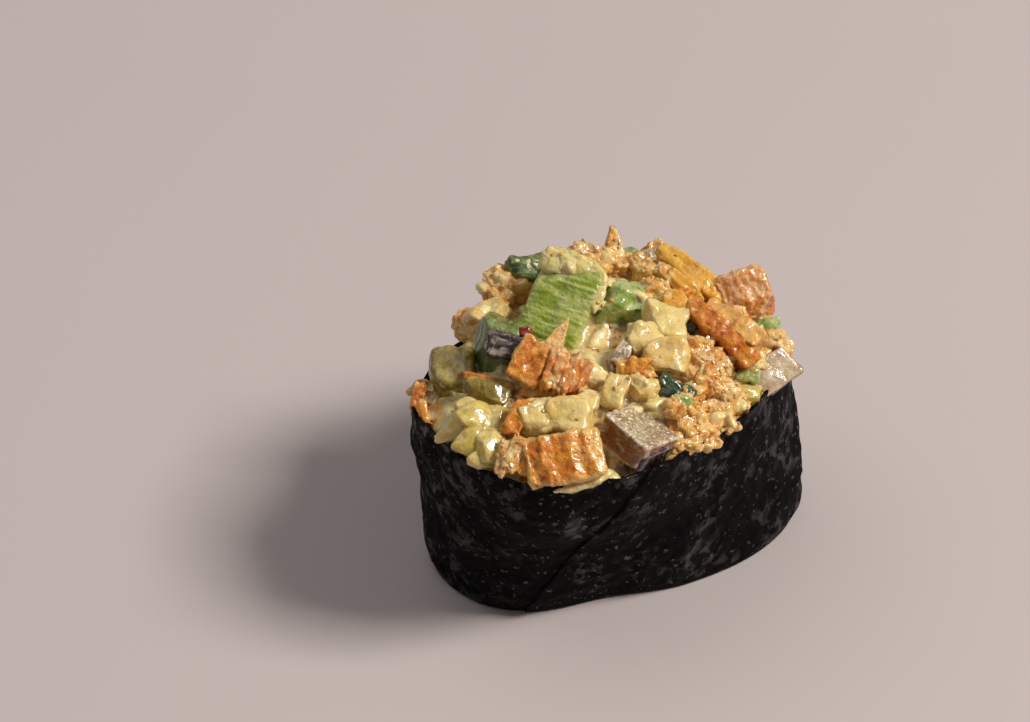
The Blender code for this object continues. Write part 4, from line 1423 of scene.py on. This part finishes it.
SMALL_LUMPS: tuple[tuple[Food, Lump], ...] = (
    (Food.BEAD, Lump(Form.CRUMB, Grain.PLAIN, (-12.5, 2.5, 38.0), (1.9, 1.6, 1.5), (31, -5, -32), 18)),
    (Food.CURD, Lump(
        Form.FLAKE, Grain.CURD, (-8.7, -0.4, 37.9), (4.8, 1.7, 0.7), (24, -38, 13), 19, taper=-0.8,
    )),
    (Food.TOFU, Lump(Form.STRIP, Grain.CRUST, (-25.4, 9.7, 28.9), (5.0, 1.8, 1.5), (13, -40, 30), 20)),
    (Food.TOFU, Lump(Form.STRIP, Grain.CRUST, (-27.3, 6.1, 29.3), (4.0, 1.3, 1.2), (-4, -41, 57), 21)),
    (Food.TOFU, Lump(Form.CRUMB, Grain.CURD, (-22.8, 12.5, 27.6), (3.4, 2.6, 2.2), (30, -10, -24), 22)),
    (Food.OLIVE, Lump(Form.SHARD, Grain.FLESH, (-20.7, 0.2, 33.7), (6.4, 3.4, 1.8), (30, 6, -50), 23)),
    (Food.CARROT, Lump(Form.STRIP, Grain.CRUST, (-20.0, 1.6, 34.4), (6.4, 1.1, 1.0), (36, 6, -48), 24)),
    (Food.CARROT, Lump(Form.STRIP, Grain.FLESH, (-22.2, -7.6, 34.5), (5.0, 2.8, 2.2), (13, -34, 27), 29)),
    (Food.POTATO, Lump(Form.SHARD, Grain.FLESH, (-19.8, -9.3, 34.3), (4.6, 4.4, 3.6), (35, -11, -24), 30)),
    (Food.POTATO, Lump(Form.SHARD, Grain.FLESH, (-15.8, -11.3, 34.3), (6.2, 5.2, 4.2), (36, 6, -48), 31)),
    (Food.POTATO, Lump(Form.SHARD, Grain.FLESH, (-12.3, -10.8, 34.3), (4.0, 3.2, 2.6), (22, -23, 4), 32)),
    (Food.CURD, Lump(Form.STRIP, Grain.CRUST, (-27.1, -11.0, 32.3), (5.2, 2.0, 1.8), (11, -43, 33), 33)),
    (Food.CURD, Lump(Form.STRIP, Grain.CRUST, (-25.8, -11.8, 33.1), (5.4, 2.2, 1.8), (22, -39, 18), 34)),
    (Food.TOFU, Lump(Form.STRIP, Grain.CRUST, (-24.8, -13.4, 32.1), (5.0, 2.6, 1.6), (6, -44, 42), 35)),
    (Food.CREAM, Lump(Form.PLATE, Grain.CURD, (-21.0, -18.3, 29.5), (7.0, 2.2, 1.6), (30, -8, -27), 36)),
    (Food.CURD, Lump(Form.CRUMB, Grain.CURD, (-1.6, -18.2, 29.1), (6.0, 5.0, 4.4), (31, 5, -48), 37)),
    (Food.CURD, Lump(Form.CRUMB, Grain.CURD, (2.7, -18.4, 27.9), (6.2, 5.0, 4.4), (28, -14, -15), 38)),
    (Food.CURD, Lump(Form.CRUMB, Grain.CURD, (7.4, -17.9, 27.9), (4.6, 3.6, 3.6), (27, -16, -11), 39)),
    (Food.CURD, Lump(Form.CRUMB, Grain.CURD, (-3.7, -19.8, 27.9), (5.2, 3.4, 3.2), (30, -10, -24), 40)),
    (Food.CURD, Lump(Form.CRUMB, Grain.CURD, (0.3, -19.8, 27.0), (4.4, 3.4, 3.0), (28, -14, -15), 41)),
    (Food.CURD, Lump(Form.CRUMB, Grain.CURD, (4.9, -19.2, 26.9), (4.2, 3.2, 3.0), (27, -16, -11), 42)),
    (Food.LEAF, Lump(Form.FLAKE, Grain.LEAF, (-0.9, -16.0, 33.3), (4.6, 2.2, 1.2), (30, 7, -58), 43)),
    (Food.LEAF, Lump(Form.FLAKE, Grain.LEAF, (-1.5, -15.1, 34.0), (4.0, 1.8, 1.0), (25, 32, -75), 44)),
    (Food.LEAF, Lump(Form.FLAKE, Grain.LEAF, (-2.3, -15.5, 33.6), (3.0, 1.6, 1.0), (44, -10, -44), 45)),
    (Food.LEAF, Lump(Form.FLAKE, Grain.LEAF, (9.0, -6.9, 34.9), (3.8, 1.6, 1.4), (5, -36, 42), 46)),
    (Food.CURD, Lump(Form.CRUMB, Grain.CURD, (10.0, 1.5, 34.6), (4.2, 3.6, 3.4), (31, 0, -40), 47)),
    (Food.CURD, Lump(Form.CRUMB, Grain.CURD, (14.2, 4.2, 33.8), (4.0, 3.6, 3.4), (17, -26, 14), 48)),
    (Food.CURD, Lump(Form.CRUMB, Grain.CURD, (12.7, 6.3, 33.9), (4.2, 3.4, 3.2), (31, -5, -32), 49)),
    (Food.TOFU, Lump(Form.SHARD, Grain.CRUST, (12.4, -1.3, 34.3), (4.4, 3.6, 3.0), (17, -26, 14), 50)),
    (Food.PEPPER, Lump(Form.SHARD, Grain.FLESH, (10.0, -2.6, 34.9), (3.4, 3.4, 2.6), (6, -30, 38), 51)),
    (Food.CURD, Lump(Form.CRUMB, Grain.CURD, (18.6, 11.9, 31.1), (3.6, 2.8, 2.6), (25, -19, -6), 52)),
    (Food.AUBERGINE, Lump(Form.STRIP, Grain.SKIN, (16.6, 11.0, 31.6), (4.0, 2.0, 2.2), (28, -14, -15), 53)),
    (Food.AVOCADO, Lump(Form.SHARD, Grain.FLESH, (10.3, -17.7, 28.1), (3.2, 3.4, 3.0), (6, -30, 38), 54)),
    (Food.MINT, Lump(Form.SHARD, Grain.FLESH, (11.0, -16.2, 30.2), (3.2, 2.2, 2.2), (31, 0, -40), 55)),
    (Food.MINT, Lump(Form.SHARD, Grain.FLESH, (21.6, -8.5, 28.9), (3.6, 2.6, 2.4), (31, 0, -40), 56)),
    (Food.CURD, Lump(Form.CRUMB, Grain.CURD, (5.6, -13.3, 32.4), (6.4, 6.0, 4.8), (30, -10, -24), 57)),
    (Food.CURD, Lump(Form.CRUMB, Grain.CURD, (6.3, -10.4, 33.4), (4.6, 4.4, 3.8), (17, -26, 14), 58)),
    (Food.CURD, Lump(Form.SHARD, Grain.CURD, (5.2, -16.5, 30.8), (6.0, 4.6, 3.6), (28, 14, -65), 59)),
    (Food.POTATO, Lump(Form.STRIP, Grain.FIBRE, (-9.1, -12.2, 34.8), (5.2, 3.2, 2.6), (13, -34, 27), 60)),
    (Food.AUBERGINE, Lump(Form.STRIP, Grain.LEAF, (-3.1, -6.9, 35.5), (4.4, 2.2, 1.6), (19, -31, 16), 61)),
    (Food.TOFU, Lump(Form.CRUMB, Grain.CRUST, (-3.5, -10.1, 34.6), (5.6, 3.2, 3.0), (31, 2, -43), 62)),
    (Food.POTATO, Lump(Form.CRUMB, Grain.FLESH, (-4.4, -13.0, 33.5), (5.0, 3.6, 3.0), (30, 10, -56), 63)),
    (Food.TOFU, Lump(Form.CRUMB, Grain.CRUST, (-10.3, 16.8, 30.3), (4.4, 5.0, 4.0), (10, -24, 26), 64)),
    (Food.CURD, Lump(Form.CRUMB, Grain.CURD, (-5.0, 17.4, 32.2), (5.0, 4.2, 4.0), (26, 0, -40), 65)),
    (Food.CURD, Lump(Form.CRUMB, Grain.CRUST, (0.3, 17.1, 29.6), (4.0, 3.6, 3.2), (21, -15, -6), 66)),
    (Food.PEEL, Lump(Form.SHARD, Grain.LEAF, (-1.2, 17.0, 34.8), (5.0, 3.2, 2.8), (25, 3, -47), 67)),
    (Food.PEEL, Lump(Form.SHARD, Grain.LEAF, (1.3, 16.7, 35.0), (4.2, 2.6, 2.4), (24, -8, -23), 93)),
    (Food.CURD, Lump(Form.CRUMB, Grain.CURD, (-2.6, 17.7, 32.4), (7.4, 6.4, 5.6), (25, -4, -32), 68)),
    (Food.PEEL, Lump(Form.SHARD, Grain.SKIN, (-2.2, 17.4, 28.8), (4.6, 4.0, 3.6), (14, -21, 15), 69)),
    (Food.CURD, Lump(Form.CRUMB, Grain.CURD, (11.9, 15.8, 30.9), (5.4, 4.2, 3.8), (26, 0, -40), 70)),
    (Food.CURD, Lump(Form.CRUMB, Grain.CRUST, (9.4, 16.3, 33.1), (4.4, 3.0, 3.0), (25, 4, -48), 71)),
    (Food.CURD, Lump(Form.CRUMB, Grain.CURD, (11.4, 10.3, 33.3), (4.6, 3.6, 3.4), (24, -8, -23), 72)),
    (Food.CURD, Lump(
        Form.FLAKE, Grain.CRUST, (11.5, 12.4, 35.7), (5.4, 2.4, 0.8), (-6, -46, 59), 73, taper=-0.6,
    )),
    (Food.MINT, Lump(Form.SHARD, Grain.FLESH, (15.9, 13.7, 31.1), (2.8, 2.4, 2.2), (26, 0, -40), 74)),
    (Food.CURD, Lump(Form.CRUMB, Grain.CURD, (17.4, -12.7, 29.9), (5.2, 4.0, 3.6), (31, -5, -32), 75)),
    (Food.POTATO, Lump(Form.STRIP, Grain.FLESH, (13.2, -13.7, 33.0), (3.2, 1.6, 1.4), (19, -31, 16), 76)),
    (Food.CURD, Lump(Form.CRUMB, Grain.CURD, (21.1, -11.9, 27.3), (3.8, 3.2, 3.0), (28, 14, -65), 77)),
    (Food.POTATO, Lump(Form.CRUMB, Grain.FLESH, (13.7, -14.7, 30.4), (3.8, 3.0, 2.8), (31, 0, -40), 78)),
    (Food.AUBERGINE_DARK, Lump(
        Form.SLAB, Grain.SKIN, (-9.2, -20.8, 29.2), (0.9, 7.8, 2.8), (-23, 17, -80), 99,
    )),
    (Food.CREAM, Lump(Form.CRUMB, Grain.FLESH, (-8.6, -6.6, 34.1), (5.0, 4.0, 3.4), (30, 10, -56), 80)),
    (Food.CREAM, Lump(Form.CRUMB, Grain.FLESH, (-3.7, -15.3, 31.8), (6.0, 3.6, 3.0), (31, -5, -32), 81)),
    (Food.CREAM, Lump(Form.LUMP, Grain.FLESH, (-0.4, 10.7, 39.6), (4.4, 3.4, 1.5), (39, 9, -62), 94)),
    (Food.CREAM, Lump(Form.LUMP, Grain.FLESH, (1.0, 8.1, 39.3), (4.8, 3.8, 1.6), (39, 9, -62), 95)),
    (Food.CREAM, Lump(Form.LUMP, Grain.FLESH, (2.0, 5.4, 38.5), (4.0, 4.2, 1.6), (39, 9, -62), 96)),
    (Food.CREAM, Lump(Form.LUMP, Grain.FLESH, (0.8, 3.3, 37.1), (2.0, 4.6, 1.2), (39, 9, -62), 97)),
    (Food.CREAM, Lump(Form.FLAKE, Grain.FLESH, (-18.4, -19.6, 29.9), (4.2, 1.4, 1.0), (35, -9, -27), 98)),
)


@dataclass
class Source:
    """Something that the dressing lies on: its shape, its food, and its shares of grit and of cream."""

    shape: Shape
    food: Food
    grit: float
    cream: float

    def rows(self, step: int) -> tuple[np.ndarray, np.ndarray]:
        """Every step-th point, and its colour with its grit and its cream beside it."""
        points = self.shape.points[::step]
        tint = self.shape.values.get("tint", np.full(len(self.shape.points), 0.5))[::step, None]
        low, high = (np.array(hue[:3]) for hue in (self.food.value.base, self.food.value.second))
        colours = low * (1 - tint) + high * tint
        return points, np.concatenate((colours, np.tile((self.grit, self.cream), (len(points), 1))), 1)


@dataclass
class Heap:
    """Core of the heap, its crumbs, and the dressing that joins everything on it."""

    dome: Dome
    foot: float = 21.5
    columns: int = 96
    rings: tuple[float, ...] = (1.0, 0.97, 0.9, 0.8, 0.68, 0.55, 0.42, 0.28, 0.14, 0.05)
    fillers: int = 30
    filler_spots: int = 260
    filler_inset: float = 1.5
    filler_rise: float = 0.1
    filler_sizes: tuple[float, float] = (3.0, 5.2)
    filler_clearance: float = 0.2
    morsels: int = 620
    morsel_sizes: tuple[float, float] = (1.2, 2.8)
    morsel_reach: float = 0.95
    morsel_cell: float = 0.42
    morsel_start: float = 0.37
    morsel_turn: float = 51.0
    large_margin: float = 1.5
    golden_angle: float = 137.5
    golden_step: float = 0.618
    seed: int = 7
    voxel: float = 0.33
    smoothing: int = 5
    neighbours: int = 4
    valley_blur: int = 21
    valley_most: float = 0.7
    valley_depth: float = 1.2
    # Painted shade: how much darker the valleys are painted, through the height value.
    valley_shade: float = 2.2
    bare_sink: float = 0.5
    sink: float = 0.10
    lap: float = 0.16
    drop_spacing: float = 1.3
    drop_density: float = 0.6
    drop_scales: tuple[float, float] = (0.4, 1.3)
    drop_size: Triple = (2.6, 1.7, 0.9)
    grit_size: Triple = (0.95, 0.72, 0.55)
    grit_density: float = 2.0
    clear_spots: tuple[tuple[Triple, float], ...] = (
        ((-3.8, 1.8, 33.7), 3.4), ((-0.7, -1.3, 33.8), 3.0), ((-9.1, 3.5, 33.7), 2.6),
        ((-15.4, -17.4, 30.8), 2.6), ((-8.2, 1.2, 33.7), 2.2),
    )
    hollows: tuple[tuple[Triple, float, float], ...] = (
        ((-0.7, -1.3, 33.8), 2.2, 2.2), ((-3.8, 1.8, 33.7), 2.0, 1.6), ((-15.4, -17.4, 30.8), 1.8, 2.4),
        ((-18.9, -9.9, 32.6), 0.8, 1.6), ((-20.7, 4.7, 31.9), 1.6, 1.4), ((13.8, -1.2, 32.9), 1.4, 1.6),
        ((9.2, -13.1, 31.8), 1.0, 1.2), ((-8.2, 1.2, 33.7), 1.4, 1.6), ((-11.0, -16.9, 34.2), 2.0, 1.6),
    )

    def core(self) -> Shape:
        """Closed body from below the rim up to the dome."""
        bearing = full_turn(self.columns)
        edge = self.dome.height(bearing, np.ones_like(bearing))
        rings = []
        for rise, share in ((0.0, 0.02), (0.0, 0.5), (0.0, 1.0), (0.5, 1.0), (0.999, 1.0)):
            height = self.foot + (edge - self.foot) * rise
            radius = (self.dome.wall.radius(bearing, height) - self.dome.inset) * share
            rings.append(ring_points(radius, bearing, height))
        for part in self.rings:
            rings.append(self.dome.points(bearing, np.full_like(bearing, part)))
        return closed_loft(rings)

    def filler_lumps(self) -> list[Lump]:
        """Crumbs spread over the dome on a spiral, clear of the pieces that have places of their own."""
        chance = random.Random(self.seed)
        placed = LARGE_LUMPS + [piece for food, piece in SMALL_LUMPS if food is not Food.BEAD]
        taken = [(np.array(piece.place), max(piece.size) / 2) for piece in placed]
        found = []
        for index in range(self.filler_spots):
            part = math.sqrt(index * self.golden_step % 1.0)
            bearing = math.radians(index * self.golden_angle) % (2 * math.pi)
            angle = np.array([bearing])
            height = float(self.dome.height(angle, np.array([part]))[0])
            wall = self.dome.wall.radius(angle, self.dome.wall.rim(angle))[0]
            radius = float(wall - self.dome.inset - self.filler_inset) * part
            size = chance.uniform(*self.filler_sizes)
            rise = height + self.filler_rise * size
            place = np.array((radius * math.cos(bearing), radius * math.sin(bearing), rise))
            turn = tuple(chance.uniform(0, 180) for _ in range(3))
            clearance = self.filler_clearance * size
            if any(np.linalg.norm(place - other) < reach + clearance for other, reach in taken):
                continue
            if self.is_kept_free(place):
                continue
            sides = (size * 1.2, size, size * 0.8)
            found.append(Lump(Form.PEBBLE, Grain.CURD, tuple(place), sides, turn, 41 + len(found)))
            taken.append((place, size / 2))
            if len(found) == self.fillers:
                break
        return found

    def morsel_lumps(self) -> list[tuple[Food, Lump]]:
        """Small crumbs of the foods, spread evenly over the dome and clear of the large pieces."""
        chance = random.Random(self.seed + 1)
        found = []
        for index in range(self.morsels):
            part = math.sqrt((index * self.golden_step + self.morsel_start) % 1.0)
            bearing = math.radians(index * self.golden_angle + self.morsel_turn) % (2 * math.pi)
            size = chance.uniform(*self.morsel_sizes)
            spot = self.dome.points(np.array([bearing]), np.array([part * self.morsel_reach]))[0]
            spot[2] += chance.uniform(0.0, 0.8) * size
            turn = tuple(chance.uniform(0, 360) for _ in range(3))
            pick = chance.random()
            if self.is_kept_free(spot):
                continue
            food, grain, form = self.choose(pick, spot)
            sides = (size * chance.uniform(1.0, 1.6), size, size * chance.uniform(0.5, 0.9))
            crumb = Lump(form, grain, tuple(spot), sides, turn, 100 + index, cell=self.morsel_cell)
            found.append((food, crumb))
        return found

    def is_kept_free(self, spot: np.ndarray) -> bool:
        """Whether a spot is on a large piece, or where the photograph shows no crumbs."""
        if any(np.linalg.norm(spot - np.array(place)) < reach for place, reach in self.clear_spots):
            return True
        return any(piece.covers(spot, self.large_margin) for piece in LARGE_LUMPS)

    @staticmethod
    def choose(pick: float, spot: np.ndarray) -> tuple[Food, Grain, Form]:
        """Food of a crumb: curd and crust mostly to the right, flesh more to the left."""
        flesh = 0.34 if spot[0] < 2 else 0.16
        if pick < flesh * 0.5:
            return Food.POTATO, Grain.FLESH, Form.SHARD
        if pick < flesh * 0.8:
            return Food.AVOCADO, Grain.FLESH, Form.SHARD
        if pick < flesh:
            return Food.MINT, Grain.FLESH, Form.SHARD
        if pick < flesh + 0.20:
            return Food.TOFU, Grain.CRUST, Form.STRIP
        if pick < flesh + 0.26:
            return Food.CARROT, Grain.FLESH, Form.STRIP
        return Food.CURD, Grain.CURD, Form.CRUMB

    def skin(self, sources: list[Source], drops: bpy.types.Object) -> Shape:
        """One closed skin round everything, smoothed so that hollows fill and corners sink."""
        whole = Shape.join([source.shape for source in sources])
        body = whole.mesh_object("skin", finish_of(Food.DRESSING))
        join_objects(body, drops)
        remesh = body.modifiers.new("Remesh", "REMESH")
        remesh.mode = "VOXEL"
        remesh.voxel_size = self.voxel * MM
        smooth = body.modifiers.new("Smooth", "SMOOTH")
        smooth.factor = 0.6
        smooth.iterations = self.smoothing
        result = bpy.data.meshes.new_from_object(body.evaluated_get(bpy.context.evaluated_depsgraph_get()))
        bpy.data.objects.remove(body)
        points = drawing_points(result)
        faces = np.empty(len(result.polygons) * 4, np.int32)
        result.polygons.foreach_get("vertices", faces)
        bpy.data.meshes.remove(result)
        return Shape(points, faces.reshape(-1, 4), points.copy())

    def nearest_rows(self, shape: Shape, tables: list[tuple[np.ndarray, np.ndarray]]) -> np.ndarray:
        """Rows of what lies nearest to each point of a shape, mixed by nearness.

        Args:
            shape: The shape to find rows for.
            tables: Points, and a row of colour, grit and cream for each.

        Returns:
            One mixed row a point.
        """
        spots, rows = (np.concatenate(parts) for parts in zip(*tables))
        tree = KDTree(len(spots))
        for index, spot in enumerate(spots.tolist()):
            tree.insert(spot, index)
        tree.balance()
        near = [tree.find_n(point, self.neighbours) for point in shape.points.tolist()]
        picks = np.array([[index for _, index, _ in found] for found in near])
        gaps = np.array([[gap for _, _, gap in found] for found in near])
        weights = 1 / (gaps + 0.2) ** 2
        return (rows[picks] * weights[..., None]).sum(1) / weights.sum(1, keepdims=True)

    def dressing(self, sources: list[Source]) -> Shape:
        """The skin, roughened and sunk in its valleys, in the colours of what lies nearest, with painted
        shade in those valleys.

        Args:
            sources: All that the dressing lies between.

        Returns:
            The dressing, with its grit value and its painted colours.
        """
        drops = self.drops(sources)
        cream = drawing_points(drops.data)
        shape = self.skin(sources, drops)
        cream_row = np.array((*Food.CREAM.value.base[:3], 0.0, 1.0))
        tables = [source.rows(self.neighbours) for source in sources]
        tables.append((cream, np.tile(cream_row, (len(cream), 1))))
        mixed = self.nearest_rows(shape, tables)
        shape.hues = mixed[:, :3]
        shape.values["grit"] = ease(mixed[:, 3], 0.35, 0.9)
        rough = 0.16 * rough_at(shape.points, 1.8, 3) + 0.07 * noise_at(shape.points, 0.62, 9)
        rough = (rough + 0.06 * noise_at(shape.points, 1.0, 17)) * (0.6 + 0.4 * shape.values["grit"])
        lap = self.lap * ease(noise_at(shape.points, 3.4, 13), 0.0, 0.5)
        normals = shape.normals()
        depth = ((shape.blurred(self.valley_blur) - shape.points) * normals).sum(1)
        depth = np.clip(depth, 0.0, self.valley_most)
        # Painted shade: the valleys are painted darker through the height value, as well as being sunk a
        # little further.
        shape.values["height"] = rough * 2 - self.valley_shade * depth
        sunk = self.bare_sink * (1 - ease(mixed[:, 4], 0.05, 0.28))
        push = rough - self.sink + lap - sunk - self.valley_depth * depth
        shape.points = shape.points + normals * push[:, None]
        for place, reach, depth in self.hollows:
            away = np.linalg.norm(shape.points - np.array(place), axis=1)
            shape.points[:, 2] -= depth * np.exp(-((away / reach) ** 2))
        return shape

    def grit(self, surface: bpy.types.Object) -> list[bpy.types.Object]:
        """Fine crumbs of three foods over the dressing."""
        made = []
        for food, spacing, scales, seed in (
            (Food.CURD, 0.85, (0.5, 1.5), 3),
            (Food.POTATO, 1.7, (0.6, 1.6), 11),
            (Food.TOFU, 2.1, (0.6, 1.4), 23),
        ):
            name = food.name.lower() + "_grit"
            scatter = GrainScatter(
                name, finish_of(food), spacing, self.grit_density, seed, scales, least_facing=-0.1
            )
            shards = [shard_mesh(f"{name}_{k}", self.grit_size, 13, seed + k) for k in range(4)]
            made.append(report(scatter.run(surface, shards), SLOTS[food], "topping"))
        return made

    def drops(self, sources: list[Source]) -> bpy.types.Object:
        """Soft drops of cream that hug the pieces, to be melted into the dressing."""
        whole = Shape.join([source.shape for source in sources])
        share = np.concatenate([np.full(len(source.shape.points), source.cream) for source in sources])
        whole.values = {"grit": share * ease(noise_at(whole.points, 4.0, 21), -0.1, 0.5)}
        finish = finish_of(Food.CREAM)
        carrier = whole.mesh_object("drop_carrier", finish)
        scatter = GrainScatter(
            "cream_drops", finish, self.drop_spacing, self.drop_density, 5, self.drop_scales,
            least_facing=0.1, hug=True,
        )
        shapes = [drop_mesh(f"drop_{k}", self.drop_size, k) for k in range(5)]
        made = scatter.run(carrier, shapes)
        bpy.data.objects.remove(carrier)
        return made

    def build(self, large: list[Source]) -> list[bpy.types.Object]:
        """Make the crumbs and the dressing over the core."""
        fillers = [(Food.CURD, piece) for piece in self.filler_lumps()]
        by_food: dict[Food, list[Shape]] = {}
        for food, piece in (*SMALL_LUMPS, *fillers, *self.morsel_lumps()):
            by_food.setdefault(food, []).append(shape_lump(piece))
        sources = [Source(self.core(), Food.DRESSING, 1.0, 1.0), *large]
        made = []
        for food, shapes in by_food.items():
            joined = Shape.join(shapes)
            grit = 1.0 if food is Food.CURD else 0.5
            sources.append(Source(joined, food, grit, CREAM_SHARES.get(food, COMMON_CREAM)))
            name = food.name.lower() + "_bits"
            made.append(report(joined.mesh_object(name, finish_of(food)), SLOTS[food], "topping"))
        cream = self.dressing(sources).mesh_object("dressing", finish_of(Food.DRESSING))
        made.append(report(cream, "topping", "topping"))
        return made + self.grit(cream)


SLOTS = {
    Food.STALK: "green", Food.MINT: "green", Food.PEEL: "green", Food.LEAF: "green",
    Food.AUBERGINE: "aubergine", Food.AUBERGINE_SMOOTH: "aubergine", Food.AUBERGINE_DARK: "aubergine",
    Food.AVOCADO: "avocado", Food.OLIVE: "avocado",
    Food.POTATO: "potato", Food.TOFU: "tofu", Food.GOLD: "tofu", Food.CURD: "tofu", Food.CARROT: "carrot",
    Food.PEPPER: "pepper", Food.BEAD: "topping", Food.DRESSING: "topping", Food.CREAM: "topping",
}


COMMON_CREAM = 0.5
CREAM_SHARES = {
    Food.STALK: 0.0, Food.PEEL: 0.0, Food.LEAF: 0.0, Food.BEAD: 0.0, Food.OLIVE: 0.0,
    Food.AUBERGINE: 0.0, Food.AUBERGINE_SMOOTH: 0.0, Food.AUBERGINE_DARK: 0.0,
    Food.AVOCADO: 0.05, Food.CARROT: 0.1, Food.TOFU: 0.15, Food.GOLD: 0.2, Food.PEPPER: 0.2,
    Food.POTATO: 0.25, Food.MINT: 0.3,
}


@dataclass(frozen=True)
class Lamp:
    """Soft square light: its direction in degrees, side and distance in metres, and power in watts."""

    name: str
    azimuth: float
    elevation: float
    side: float
    power: float
    colour: Triple
    distance: float = 1.5

    def hang(self) -> None:
        """Put it in the scene, aimed at the food."""
        data = bpy.data.lights.new(self.name, "AREA")
        data.size = self.side
        data.energy = self.power
        data.color = self.colour
        away = towards(self.azimuth, self.elevation)
        lamp = new_object(self.name, data)
        lamp.location = away * self.distance
        lamp.rotation_euler = away.to_track_quat("Z", "Y").to_euler()


@dataclass
class Studio:
    """Pale floor, soft light from the right and a camera at the photograph's angle."""

    azimuth: float = -40.0
    elevation: float = 39.0
    distance: float = 620.0
    aim_height: float = 15.0
    pixels_per_mm: float = 7.2
    picture: tuple[int, int] = (1030, 722)
    centre: tuple[float, float] = (607.8, 437.2)
    sensor: float = 36.0
    floor_size: float = 3000.0
    lamps: tuple[Lamp, ...] = (
        Lamp("key", 40.0, 46.0, 0.46, 24.0, (1.0, 0.97, 0.93)),
        Lamp("fill", -160.0, 62.0, 1.3, 4.2, (1.0, 0.98, 0.96)),
    )
    surroundings: Colour = (0.86, 0.85, 0.88, 1.0)
    surroundings_power: float = 0.22

    def floor(self) -> None:
        """Lay the plate."""
        half = self.floor_size / 2 * MM
        corners = [(-half, -half, 0), (half, -half, 0), (half, half, 0), (-half, half, 0)]
        mesh = bpy.data.meshes.new("plate")
        mesh.from_pydata(corners, [], [(0, 1, 2, 3)])
        mesh.materials.append(FloorFinish().material())
        plate = new_object("plate", mesh)

    def camera(self) -> None:
        """Set the camera by the photograph's angle, scale and framing."""
        turn = math.radians(self.azimuth)
        back = towards(self.azimuth, self.elevation)
        right = Vector((math.cos(turn), math.sin(turn), 0))
        data = bpy.data.cameras.new("camera")
        data.sensor_width = self.sensor
        width, height = self.picture
        data.lens = self.sensor * self.pixels_per_mm * self.distance / width
        data.shift_x = (width / 2 - self.centre[0]) / width
        data.shift_y = (self.centre[1] - height / 2) / width
        data.clip_start = 0.01
        place = Matrix((right, back.cross(right), back)).transposed().to_4x4()
        aim = Vector((DRAWING_SHIFT[0], DRAWING_SHIFT[1], self.aim_height)) * MM
        place.translation = aim + back * self.distance * MM
        camera = new_object("camera", data)
        camera.matrix_world = place
        bpy.context.scene.camera = camera

    def build(self) -> None:
        """Set up floor, lights, surroundings and camera."""
        self.floor()
        for lamp in self.lamps:
            lamp.hang()
        world = bpy.data.worlds.new("studio")
        world.use_nodes = True
        background = world.node_tree.nodes["Background"]
        background.inputs["Color"].default_value = self.surroundings
        background.inputs["Strength"].default_value = self.surroundings_power
        bpy.context.scene.world = world
        bpy.context.scene.view_settings.view_transform = "Standard"
        self.camera()


def main() -> None:
    """Dress the whole part."""
    logging.basicConfig(level=logging.INFO, format="%(message)s")
    wall = Wall()
    Studio().build()
    NoriBand(wall).build()
    RiceBed(wall).build()
    large = []
    for cluster in LARGE_PIECES:
        food = cluster.food
        shape = cluster.shape()
        large.append(Source(shape, food, 0.0, CREAM_SHARES.get(food, COMMON_CREAM)))
        report(shape.mesh_object(cluster.name, finish_of(food)), SLOTS[food], cluster.node)
    Heap(Dome(wall)).build(large)


if __name__ == "__main__":
    main()
